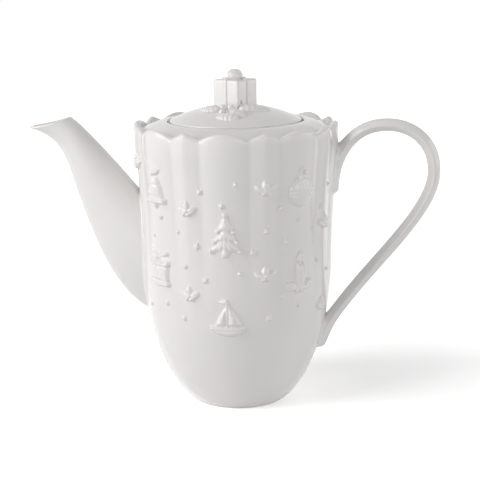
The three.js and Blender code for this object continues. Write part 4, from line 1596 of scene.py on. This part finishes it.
@dataclass
class Knob(Assembly):
    """A hollow parcel tied with a crossed ribbon and a bow, with an air hole in one face."""

    body: Body = Body.LID
    lid: Lid = field(default_factory=Lid)
    side: float = 20.4 * MM
    corner: float = 1.2 * MM
    top_round: float = 1.3 * MM
    wall: float = 3 * MM
    sink: float = 2.4 * MM
    turn: float = math.radians(-31)
    vent_radius: float = 0.95 * MM
    vent_from_edge: float = 3.3 * MM
    vent_rise: float = 2.4 * MM
    ribbon_width: float = 3.0 * MM
    ribbon_raise: float = 0.75 * MM
    ribbon_sunk: float = 0.8 * MM
    ribbon_shape: float = 2.5
    top_dome: float = 1.5 * MM
    bow_turn: float = math.radians(-80)
    loop_length: float = 8 * MM
    loop_width: float = 10.4 * MM
    knot_width: float = 4 * MM
    bow_sink: float = 2.2 * MM
    front_drop: float = 0.5 * MM
    dome_shape: float = 1.5
    vent_stretch: float = 0.7
    vent_peak: float = 3
    lobe_start: float = 0.86
    crease_depth: float = 0.04
    crease_width: float = 0.3
    loop_waist: float = 0.9
    knot_share: float = 0.92
    outline_points: int = 160
    corner_steps: int = 10
    side_rows: int = 14
    round_rows: int = 8
    top_rows: int = 10
    vent_points: int = 24
    bend_points: int = 9
    upright_points: int = 12
    across_points: int = 14
    ribbon_columns: int = 15
    lobe_points: int = 36
    lobe_rows: int = 22

    def __post_init__(self) -> None:
        """Takes the parcel's top from the frame and its foot from the lid."""
        self.half = self.side / 2
        self.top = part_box("knob_parcel")[1].z
        self.base = self.lid.top_z - self.sink

    def level(self, half: float, corner: float, height: float) -> Array:
        """A square outline with round corners.

        Args:
            half: Half its side.
            corner: How far from each corner the rounding starts.
            height: Its height.

        Returns:
            Points at even steps along it.
        """
        signs = ((1, 1), (-1, 1), (-1, -1), (1, -1))
        outline = rounded([(x * half, y * half, corner) for x, y in signs], self.corner_steps)
        closed = np.concatenate([outline, outline[:1]])
        even = evenly(closed, self.outline_points + 1)[:-1]
        return np.column_stack([even, np.full(len(even), height)])

    def build_parcel(self) -> None:
        """Makes the hollow box with its air hole."""
        half, top = self.half, self.top
        heights = np.linspace(self.base, top - self.top_round, self.side_rows)
        rings = [self.level(half, self.corner, height) for height in heights]
        for turn in np.linspace(0, math.pi / 2, self.round_rows)[1:]:
            inset = self.top_round * (1 - math.cos(turn))
            height = top - self.top_round * (1 - math.sin(turn))
            rings.append(self.level(half - inset, self.corner, height))
        flat = half - self.top_round
        for share in np.linspace(1, 0, self.top_rows)[1:-1]:
            height = top + self.top_dome * (1 - share) ** self.dome_shape
            rings.append(self.level(flat * share, self.corner * share, height))
        box = loft(rings, Ends.CAPPED).turned(self.turn)
        parcel = self.add("knob_parcel_porcelain", box, "knob_parcel")
        hollow = half - self.wall
        ends = (self.base - self.wall, top - self.wall)
        inside = loft([self.level(hollow, self.corner, height) for height in ends], Ends.CAPPED)
        vent_z = self.lid.dome(np.array(half)) + self.vent_rise
        angles = circle(self.vent_points)
        peak = 1 + self.vent_stretch * np.clip(np.sin(angles), 0, 1) ** self.vent_peak
        beside = self.vent_from_edge - half + self.vent_radius * np.cos(angles)
        upward = vent_z + self.vent_radius * np.sin(angles) * peak
        hole = [
            np.column_stack([np.full(self.vent_points, reach), beside, upward])
            for reach in (hollow - self.wall, half + self.wall)
        ]
        carve(parcel, [inside.turned(self.turn), loft(hole, Ends.CAPPED).turned(self.turn)])

    def band(self) -> Shape:
        """One ribbon over the parcel, from the lid up, across the top and down again.

        Returns:
            The closed ribbon, along X.
        """
        half, top, corner = self.half, self.top, self.top_round
        arc = [(half, top - corner), (half, top), (half - corner, top)]
        bend = bezier(arc, np.linspace(0, 1, self.bend_points))
        rising = np.linspace(self.base, top - corner, self.upright_points)
        up = np.column_stack([np.full(self.upright_points, half), rising])[:-1]
        inward = np.linspace(half - corner, 0, self.across_points)
        across = np.column_stack([inward, np.full(self.across_points, top)])[1:]
        right = np.concatenate([up, bend, across])
        path = np.concatenate([right, right[-2::-1] * (-1, 1)])
        along = unit(np.gradient(path, axis=0))
        out = np.column_stack([along[:, 1], -along[:, 0]])
        width = np.linspace(-1, 1, self.ribbon_columns)
        raised = np.sqrt(np.clip(1 - np.abs(width) ** self.ribbon_shape, 0, 1))
        section = np.concatenate([self.ribbon_raise * raised, [-self.ribbon_sunk, -self.ribbon_sunk]])
        sideways = np.concatenate([width, [1, -1]]) * self.ribbon_width / 2
        rings = []
        for place, normal in zip(path, out):
            inner = max(0.0, 1 - abs(place[0]) / half)
            lift = section + self.top_dome * max(0.0, normal[1]) * inner**self.dome_shape
            ring = place[None] + normal[None] * lift[:, None]
            rings.append(np.column_stack([ring[:, 0], sideways, ring[:, 1]]))
        return loft(rings, Ends.CAPPED)

    def build_ribbon(self) -> None:
        """Makes the crossed ribbon."""
        band = self.band()
        both = band.turned(self.turn).joined(band.turned(self.turn + math.pi / 2))
        self.add("knob_ribbon_porcelain", both, "knob_ribbon")

    def lobe(self, length: float, width: float, height: float, waist: float) -> list[Array]:
        """Rings of a plump lobe that starts narrow at the knot.

        Args:
            length: From the knot to the end.
            width: At the widest place.
            height: At the highest place.
            waist: Size at the knot, as a share.

        Returns:
            Rings along X.
        """
        angles = circle(self.lobe_points)
        fold = self.crease_depth * np.exp(-(((angles - math.pi / 2) / self.crease_width) ** 2))
        rings = []
        for turn in np.linspace(0, math.pi, self.lobe_rows)[1:-1]:
            share = (1 - math.cos(turn)) / 2
            size = max(math.sin(turn), waist * (1 - share) * math.cos(turn / 2))
            size *= self.lobe_start + (1 - self.lobe_start) * share
            across = np.cos(angles) * size * width / 2
            upward = np.sin(angles) * size * height / 2 * (1 - fold * math.sin(turn))
            rings.append(np.column_stack([np.full(self.lobe_points, length * share), across, upward]))
        return rings

    def build_bow(self) -> None:
        """Makes the knot and the two loops."""
        for name, direction, drop in (("front", 0.0, self.front_drop), ("back", math.pi, 0.0)):
            node = f"bow_loop_{name}"
            low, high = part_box(node)
            tall = high.z - drop - low.z + self.bow_sink
            middle = np.array([0, 0, high.z - drop - tall / 2])
            lobe = self.lobe(self.loop_length, self.loop_width, tall, self.loop_waist)
            loop = loft(lobe, Ends.CAPPED).turned(self.bow_turn + direction)
            self.add(f"{node}_porcelain", Shape(loop.points + middle, loop.faces), node)
        low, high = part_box("bow_knot")
        tall = high.z - low.z + self.bow_sink
        lobe = self.lobe(self.knot_width, self.loop_width * self.knot_share, tall, 0)
        knot = loft(lobe, Ends.CAPPED)
        start = np.array([-self.knot_width / 2, 0, high.z - tall / 2])
        placed = Shape(knot.points + start, knot.faces).turned(self.bow_turn)
        self.add("bow_knot_porcelain", placed, "bow_knot")

    def build(self) -> None:
        """Makes the parcel, its ribbon and its bow."""
        self.build_parcel()
        self.build_ribbon()
        self.build_bow()


@dataclass(frozen=True)
class Leaf:
    """A leaf of a spray: its start, right of the spray's middle and behind it, its heading and size."""

    right: float
    back: float
    heading: float
    length: float
    half_width: float


@dataclass
class Spray(Assembly):
    """Leaves and berries at the knob's foot, one spray in front and one behind."""

    body: Body = Body.LID
    lid: Lid = field(default_factory=Lid)
    out: float = 19.5 * MM
    side: float = 3 * MM
    raise_by: float = 2.8 * MM
    under: float = 1 * MM
    tooth: float = 3.4 * MM
    berry_radius: float = 2.05 * MM
    leaves: tuple[Leaf, ...] = (
        Leaf(9.2 * MM, -12.6 * MM, math.radians(170), 15.4 * MM, 4.2 * MM),
        Leaf(1.9 * MM, -2.6 * MM, math.radians(329), 12.9 * MM, 4.1 * MM),
        Leaf(7.1 * MM, 2.9 * MM, math.radians(22.5), 21.3 * MM, 4.6 * MM),
        Leaf(-4.2 * MM, 1.8 * MM, math.radians(157.5), 15.3 * MM, 4.5 * MM),
    )
    hidden_leaves: int = 2
    berries: int = 3
    shown: tuple[float, float] = (0.01, 0.995)
    tooth_phase: float = 0.1
    tooth_depth: float = 0.22
    plan_lean: float = 0.85
    plan_fullness: float = 0.6
    rise_lean: float = 0.7
    rise_fullness: float = 0.5
    vein_slant: float = 0.35
    vein_shape: float = 0.7
    vein_depth: float = 0.16
    rib_depth: float = 0.2
    rib_width: float = 0.13
    dimple_depth: float = 0.16
    dimple_width: float = 0.3
    rows: int = 56
    columns: int = 23
    berry_points: int = 28
    berry_rows: int = 18

    def leaf(self, leaf: Leaf, turn: float) -> Shape:
        """A toothed leaf with a midrib and side veins, lying on the dome.

        Args:
            leaf: The leaf.
            turn: Half a turn for the spray behind, none for the one in front.

        Returns:
            The closed leaf.
        """
        along = np.array([math.cos(leaf.heading + turn), math.sin(leaf.heading + turn)])
        side = np.array([-along[1], along[0]])
        start = math.cos(turn) * np.array([leaf.right - self.side, leaf.back - self.out])
        across = np.linspace(-1, 1, self.columns)
        teeth = round(leaf.length / self.tooth)
        rib = self.rib_depth * np.exp(-((across / self.rib_width) ** 2))
        rings = []
        for share in np.linspace(*self.shown, self.rows):
            phase = share * teeth + self.tooth_phase
            tooth = math.sqrt(abs(math.sin(math.pi * phase)))
            half = leaf.half_width * math.sin(math.pi * share**self.plan_lean) ** self.plan_fullness
            half *= 1 - self.tooth_depth + self.tooth_depth * tooth
            plan = start + along * leaf.length * share + side[None] * (across * half)[:, None]
            wave = np.sin(math.pi * (phase - self.vein_slant * np.abs(across)))
            vein = np.abs(wave) ** self.vein_shape
            rise = math.sin(math.pi * share**self.rise_lean) ** self.rise_fullness
            body = np.sqrt(np.clip(1 - across**2, 0, 1)) * rise
            lift = self.raise_by * body * (1 - self.vein_depth + self.vein_depth * vein - rib)
            ground = self.lid.dome(np.hypot(plan[:, 0], plan[:, 1]))
            upper = np.column_stack([plan, ground + lift])
            lower = np.column_stack([plan, ground - self.under])[::-1]
            rings.append(np.concatenate([upper, lower]))
        return loft(rings, Ends.CAPPED)

    def berry(self, node: str) -> Shape:
        """A round berry with a dimple, where the frame has one.

        Args:
            node: The berry's node in the frame.

        Returns:
            The closed berry.
        """
        low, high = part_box(node)
        centre = np.array([(low.x + high.x) / 2, (low.y + high.y) / 2, high.z - self.berry_radius])
        angles = circle(self.berry_points)
        rings = []
        for turn in np.linspace(-math.pi / 2, math.pi / 2, self.berry_rows)[1:-1]:
            below_top = (math.pi / 2 - turn) / self.dimple_width
            dimple = self.dimple_depth * math.exp(-(below_top**2))
            height = self.berry_radius * (math.sin(turn) - dimple)
            rings.append(centre + ring_at(angles, self.berry_radius * math.cos(turn), height))
        return loft(rings, Ends.CAPPED)

    def build(self) -> None:
        """Makes both sprays."""
        for side in Side:
            name = side.name.lower()
            count = len(self.leaves) if side is Side.FRONT else self.hidden_leaves
            for number, leaf in enumerate(self.leaves[:count], 1):
                node = f"leaf_{name}_{number}"
                self.add(f"{node}_porcelain", self.leaf(leaf, side.value), node)
            for number in range(1, self.berries + 1):
                node = f"berry_{name}_{number}"
                self.add(f"{node}_porcelain", self.berry(node), node)


# Finishes


class Value:
    """A socket that adds Math nodes when it is used in an expression."""

    def __init__(self, nodes: "Nodes", socket: Socket) -> None:
        """Wraps a socket of a node tree."""
        self.nodes = nodes
        self.socket = socket

    def math(self, operation: str, *values: "Value | float") -> "Value":
        """Adds a Math node with this value and others."""
        return self.nodes.add("ShaderNodeMath", {"operation": operation}, dict(enumerate(values)))

    def __add__(self, other: "Value | float") -> "Value":
        """Sum."""
        return self.math("ADD", self, other)

    def __radd__(self, other: float) -> "Value":
        """Sum with a number in front."""
        return self.math("ADD", other, self)

    def __sub__(self, other: "Value | float") -> "Value":
        """Difference."""
        return self.math("SUBTRACT", self, other)

    def __rsub__(self, other: float) -> "Value":
        """Difference with a number in front."""
        return self.math("SUBTRACT", other, self)

    def __mul__(self, other: "Value | float") -> "Value":
        """Product."""
        return self.math("MULTIPLY", self, other)

    def clip(self) -> "Value":
        """The value held between 0 and 1."""
        return self.math("MAXIMUM", self.math("MINIMUM", self, 1.0), 0.0)

    def step(self, low: float, high: float) -> "Value":
        """A smooth step.

        Args:
            low: Where it is 0.
            high: Where it is 1.

        Returns:
            The step's value.
        """
        settings = {"interpolation_type": "SMOOTHSTEP"}
        sockets = {"Value": self, "From Min": low, "From Max": high, "To Min": 0.0, "To Max": 1.0}
        return self.nodes.add("ShaderNodeMapRange", settings, sockets)


class Nodes:
    """The nodes of one material or world."""

    def __init__(self, owner: bpy.types.Material | bpy.types.World) -> None:
        """Starts with no nodes."""
        owner.use_nodes = True
        self.tree = owner.node_tree
        self.tree.nodes.clear()

    @staticmethod
    def find(sockets: bpy.types.bpy_prop_collection, key: str | int) -> Socket:
        """Finds a socket.

        Args:
            sockets: The inputs or outputs of a node.
            key: The socket's place, identifier or name.

        Returns:
            The first socket that fits.
        """
        if isinstance(key, int):
            return sockets[key]
        return next(socket for socket in sockets if key in (socket.identifier, socket.name))

    def add(
        self,
        kind: str,
        settings: dict[str, object] | None = None,
        sockets: dict[str | int, "Value | float | Colour"] | None = None,
        output: str | int = 0,
    ) -> Value:
        """Adds a node.

        Args:
            kind: The node's type.
            settings: Its settings, which are set first.
            sockets: Values or links of its inputs.
            output: The output that is wanted.

        Returns:
            The wanted output.
        """
        node = self.tree.nodes.new(kind)
        for name, setting in (settings or {}).items():
            setattr(node, name, setting)
        for key, value in (sockets or {}).items():
            entry = self.find(node.inputs, key)
            if isinstance(value, Value):
                self.tree.links.new(value.socket, entry)
            else:
                entry.default_value = value
        return Value(self, self.find(node.outputs, output) if node.outputs else node.inputs[0])

    def mix(self, share: Value, first: "Value | Colour", second: "Value | Colour") -> Value:
        """Mixes two colours.

        Args:
            share: Share of the second colour.
            first: The first colour.
            second: The second colour.

        Returns:
            The mixed colour.
        """
        colours = [(*entry, 1.0) if isinstance(entry, tuple) else entry for entry in (first, second)]
        sockets = {"Factor_Float": share, "A_Color": colours[0], "B_Color": colours[1]}
        return self.add("ShaderNodeMix", {"data_type": "RGBA"}, sockets, "Result_Color")

    def place(self) -> Value:
        """The place on the piece that is shaded."""
        return self.add("ShaderNodeTexCoord", output="Object")

    def noise(self, scale: float, detail: float = 2.0) -> Value:
        """Noise that stays on the piece, with scale in features per metre."""
        sockets = {"Vector": self.place(), "Scale": scale, "Detail": detail}
        return self.add("ShaderNodeTexNoise", None, sockets, "Fac")

    def bump(self, height: Value, distance: float, below: Value | None = None) -> Value:
        """A bump in the surface.

        Args:
            height: Its height as a share.
            distance: Its full height in metres.
            below: The bump that it lies on.

        Returns:
            The bent normal.
        """
        sockets: dict[str | int, Value | float | Colour] = {"Height": height, "Distance": distance}
        if below:
            sockets["Normal"] = below
        return self.add("ShaderNodeBump", None, {**sockets, "Strength": 1.0}, "Normal")

    def seen(self) -> Value:
        """1 for what the camera sees, also in mirrors and through glass."""
        names = ("Is Camera Ray", "Is Glossy Ray", "Is Transmission Ray")
        rays = [self.add("ShaderNodeLightPath", None, None, name) for name in names]
        return (rays[0] + rays[1] + rays[2]).clip()

    def surface(self, colour: Value, rough: Value, normal: Value, **others: float) -> Value:
        """A Principled shader with these inputs."""
        sockets = {"Base Color": colour, "Roughness": rough, "Normal": normal, **others}
        return self.add("ShaderNodeBsdfPrincipled", None, sockets, "BSDF")


@dataclass(frozen=True)
class Finish:
    """What a surface looks like, under the name of its material."""

    name: str

    def shader(self, nodes: Nodes) -> Value:
        """Adds the finish's nodes."""
        raise NotImplementedError

    def material(self) -> bpy.types.Material:
        """Makes the material.

        Returns:
            The new material.
        """
        made = bpy.data.materials.new(self.name)
        nodes = Nodes(made)
        nodes.add("ShaderNodeOutputMaterial", None, {"Surface": self.shader(nodes)})
        return made


@dataclass(frozen=True)
class Glaze(Finish):
    """Clear shiny glaze over white porcelain, warmer where it runs thin, and cooler and darker where it
    pools, which paints shade into hollows.
    """

    name: str = "glazed_porcelain"
    colour: Colour = (0.845, 0.823, 0.809)
    cloud_colour: Colour = (0.825, 0.808, 0.799)
    # Greyer pooled glaze, also darker as painted shade in the flute valleys and round the relief.
    pool_and_shade_colour: Colour = (0.76, 0.753, 0.749)
    thin_colour: Colour = (0.875, 0.848, 0.824)
    speck_colour: Colour = (0.45, 0.41, 0.36)
    roughness: float = 0.11
    roughness_range: float = 0.07
    ior: float = 1.52
    cloud_scale: float = 30
    cloud_detail: float = 3.0
    cloud_range: tuple[float, float] = (0.35, 0.7)
    pool_and_shade_share: float = 0.8
    thin_share: float = 0.7
    wave_scale: float = 85
    wave_height: float = 0.00003
    peel_scale: float = 700
    peel_height: float = 0.0000025
    speck_scale: float = 55
    speck_size: float = 0.012
    speck_chance: float = 0.3
    speck_share: float = 0.5

    def shader(self, nodes: Nodes) -> Value:
        """Adds the glaze's nodes.

        Args:
            nodes: The material's nodes.

        Returns:
            The shader.
        """
        depth = nodes.add("ShaderNodeAttribute", {"attribute_name": GLAZE_DEPTH_AND_SHADE}, None, "Fac")
        clouds = nodes.noise(self.cloud_scale, self.cloud_detail)
        colour = nodes.mix(clouds.step(*self.cloud_range), self.colour, self.cloud_colour)
        # Painted shade: hollows are darkened towards the pooled colour.
        colour = nodes.mix(depth.clip() * self.pool_and_shade_share, colour, self.pool_and_shade_colour)
        colour = nodes.mix((0.0 - depth).clip() * self.thin_share, colour, self.thin_colour)
        cell = {"Vector": nodes.place(), "Scale": self.speck_scale}
        near = nodes.add("ShaderNodeTexVoronoi", None, cell, "Distance")
        cell_colour = nodes.add("ShaderNodeTexVoronoi", None, cell, "Color")
        chance = nodes.add("ShaderNodeSeparateColor", None, {"Color": cell_colour}, "Red")
        chosen = chance.math("LESS_THAN", chance, self.speck_chance)
        speck = (1 - near.step(self.speck_size / 2, self.speck_size)) * chosen
        colour = nodes.mix(speck * self.speck_share, colour, self.speck_colour)
        wave = nodes.bump(nodes.noise(self.wave_scale), self.wave_height)
        peel = nodes.bump(nodes.noise(self.peel_scale), self.peel_height, wave)
        rough = self.roughness + (clouds - 0.5) * self.roughness_range
        return nodes.surface(colour, rough, peel, IOR=self.ior)


@dataclass(frozen=True)
class Bisque(Finish):
    """Bare fired porcelain on the ring that the pot stands on."""

    name: str = "bare_porcelain"
    colour: Colour = (0.74, 0.71, 0.65)
    worn_colour: Colour = (0.6, 0.57, 0.51)
    roughness: float = 0.7
    roughness_range: float = 0.2
    grain_scale: float = 2600
    grain_height: float = 0.00002
    wear_scale: float = 160
    wear_detail: float = 5.0
    wear_range: tuple[float, float] = (0.45, 0.75)

    def shader(self, nodes: Nodes) -> Value:
        """Adds the nodes of the bare surface.

        Args:
            nodes: The material's nodes.

        Returns:
            The shader.
        """
        wear = nodes.noise(self.wear_scale, self.wear_detail)
        colour = nodes.mix(wear.step(*self.wear_range), self.colour, self.worn_colour)
        grain = nodes.bump(nodes.noise(self.grain_scale), self.grain_height)
        return nodes.surface(colour, self.roughness + (wear - 0.5) * self.roughness_range, grain)


@dataclass(frozen=True)
class PaleFloor(Finish):
    """A plain pale floor that keeps the pot's shadow and fades into the white room away from it."""

    name: str = "pale_floor"
    colour: Colour = (0.8, 0.8, 0.8)
    shown_colour: Colour = (1.75, 1.75, 1.75)
    fade_from: float = 0.08
    fade_to: float = 0.32
    far_glow: float = 0.8

    def shader(self, nodes: Nodes) -> Value:
        """Adds the floor's nodes.

        Args:
            nodes: The material's nodes.

        Returns:
            The shader, which differs for what the camera sees and what lights the pot.
        """
        away = nodes.add("ShaderNodeVectorMath", {"operation": "LENGTH"}, {0: nodes.place()}, "Value")
        plain, shaded = (
            nodes.add("ShaderNodeBsdfDiffuse", None, {"Color": (*colour, 1.0)}, "BSDF")
            for colour in (self.colour, self.shown_colour)
        )
        glow = nodes.add("ShaderNodeEmission", None, {"Strength": self.far_glow}, "Emission")
        far = nodes.add("ShaderNodeAddShader", None, {0: plain, 1: glow}, "Shader")
        fade = away.step(self.fade_from, self.fade_to)
        shown = nodes.add("ShaderNodeMixShader", None, {0: fade, 1: shaded, 2: far}, "Shader")
        return nodes.add("ShaderNodeMixShader", None, {0: nodes.seen(), 1: plain, 2: shown}, "Shader")


# The studio


@dataclass(frozen=True)
class Softbox:
    """A square lamp that points at the middle of the pot, and may show as a highlight in the glaze."""

    name: str
    place: tuple[float, float, float]
    size: float
    power: float
    mirrored: bool = True


@dataclass
class Studio:
    """Floor, lamps, world and camera."""

    image_pixels: float = 480
    focal_pixels: float = 1239
    principal_x: float = 237.4
    principal_y: float = 248.0
    camera_distance: float = 797 * MM
    camera_height: float = 286 * MM
    camera_azimuth: float = math.radians(6.76)
    camera_roll: float = math.radians(-0.83)
    aim_z: float = 100 * MM
    floor_radius: float = 12.0
    floor_points: int = 96
    ambient: float = 0.26
    lamps: tuple[Softbox, ...] = (
        Softbox("key_left", (-1.9, -0.9, 0.25), 1.5, 15.0),
        Softbox("glint_left", (-1.85, -0.88, 0.5), 0.6, 3.2),
        Softbox("high_left", (-1.5, -0.8, 1.4), 1.5, 17.5),
        Softbox("fill_right", (2.0, 0.2, 0.4), 1.5, 11.0),
        Softbox("fill_front", (1.2, -1.8, 0.25), 1.5, 11.5),
        Softbox("fill_back", (0.6, 2.0, 0.6), 1.5, 10.0, mirrored=False),
    )

    def add_camera(self) -> None:
        """Sets the camera where the photograph was taken from."""
        data = bpy.data.cameras.new("camera")
        data.lens = self.focal_pixels / self.image_pixels * data.sensor_width
        data.shift_x = 0.5 - self.principal_x / self.image_pixels
        data.shift_y = self.principal_y / self.image_pixels - 0.5
        camera = link("camera", data)
        reach = self.camera_distance
        azimuth = self.camera_azimuth
        place = Vector((reach * math.sin(azimuth), -reach * math.cos(azimuth), self.camera_height))
        turn = (Vector((0, 0, self.aim_z)) - place).to_track_quat("-Z", "Y").to_matrix()
        roll = Matrix.Rotation(self.camera_roll, 3, "Z")
        camera.matrix_world = Matrix.Translation(place) @ (turn @ roll).to_4x4()
        bpy.context.scene.camera = camera

    def add_floor(self) -> None:
        """Lays the floor under the foot ring."""
        finish = PaleFloor().material()
        finish.cycles.emission_sampling = "NONE"
        mesh = bpy.data.meshes.new("floor")
        ring = ring_at(circle(self.floor_points), self.floor_radius, CAD_BOX[0].z)
        mesh.from_pydata(ring.tolist(), [], [list(range(len(ring)))])
        mesh.materials.append(finish)
        floor = link("floor", mesh)

    def add_lights(self) -> None:
        """Hangs the soft lamps and lights the room."""
        for lamp in self.lamps:
            data = bpy.data.lights.new(lamp.name, "AREA")
            data.size = lamp.size
            data.energy = lamp.power
            light = link(lamp.name, data)
            light.location = lamp.place
            light.visible_glossy = lamp.mirrored
            aim = Vector((0, 0, self.aim_z)) - Vector(lamp.place)
            light.rotation_mode = "QUATERNION"
            light.rotation_quaternion = aim.to_track_quat("-Z", "Y")
        world = bpy.data.worlds.new("studio")
        bpy.context.scene.world = world
        nodes = Nodes(world)
        soft, white = (
            nodes.add("ShaderNodeBackground", None, {"Strength": strength, "Color": WHITE})
            for strength in (self.ambient, 1.0)
        )
        room = nodes.add("ShaderNodeMixShader", None, {0: nodes.seen(), 1: soft, 2: white})
        nodes.add("ShaderNodeOutputWorld", None, {"Surface": room})

    def build(self) -> None:
        """Makes the studio and keeps colours as they are written."""
        self.add_camera()
        self.add_floor()
        self.add_lights()
        bpy.context.scene.view_settings.view_transform = "Standard"


def main() -> None:
    """Builds the pot and its lid piece by piece, then the studio round them."""
    logging.basicConfig(level=logging.INFO, format="%(message)s")
    glaze = Glaze().material()
    bare = Bisque().material()
    shell, spout, handle, relief = PotBody(), Spout(), Handle(), Relief()
    lid, knob, spray = Lid(), Knob(), Spray()
    shell.build_shell(spout.build())
    shell.build_seat()
    shell.dress(glaze, bare)
    for assembly in (handle, relief, lid, knob, spray):
        assembly.build()
    for assembly in (spout, handle, relief, lid, knob, spray):
        assembly.dress(glaze)
    for assembly in (shell, spout, handle, relief, lid, knob, spray):
        for piece in assembly.pieces:
            LOG.info("%s: %d faces", piece.name, len(piece.data.polygons))
    Studio().build()


if __name__ == "__main__":
    main()
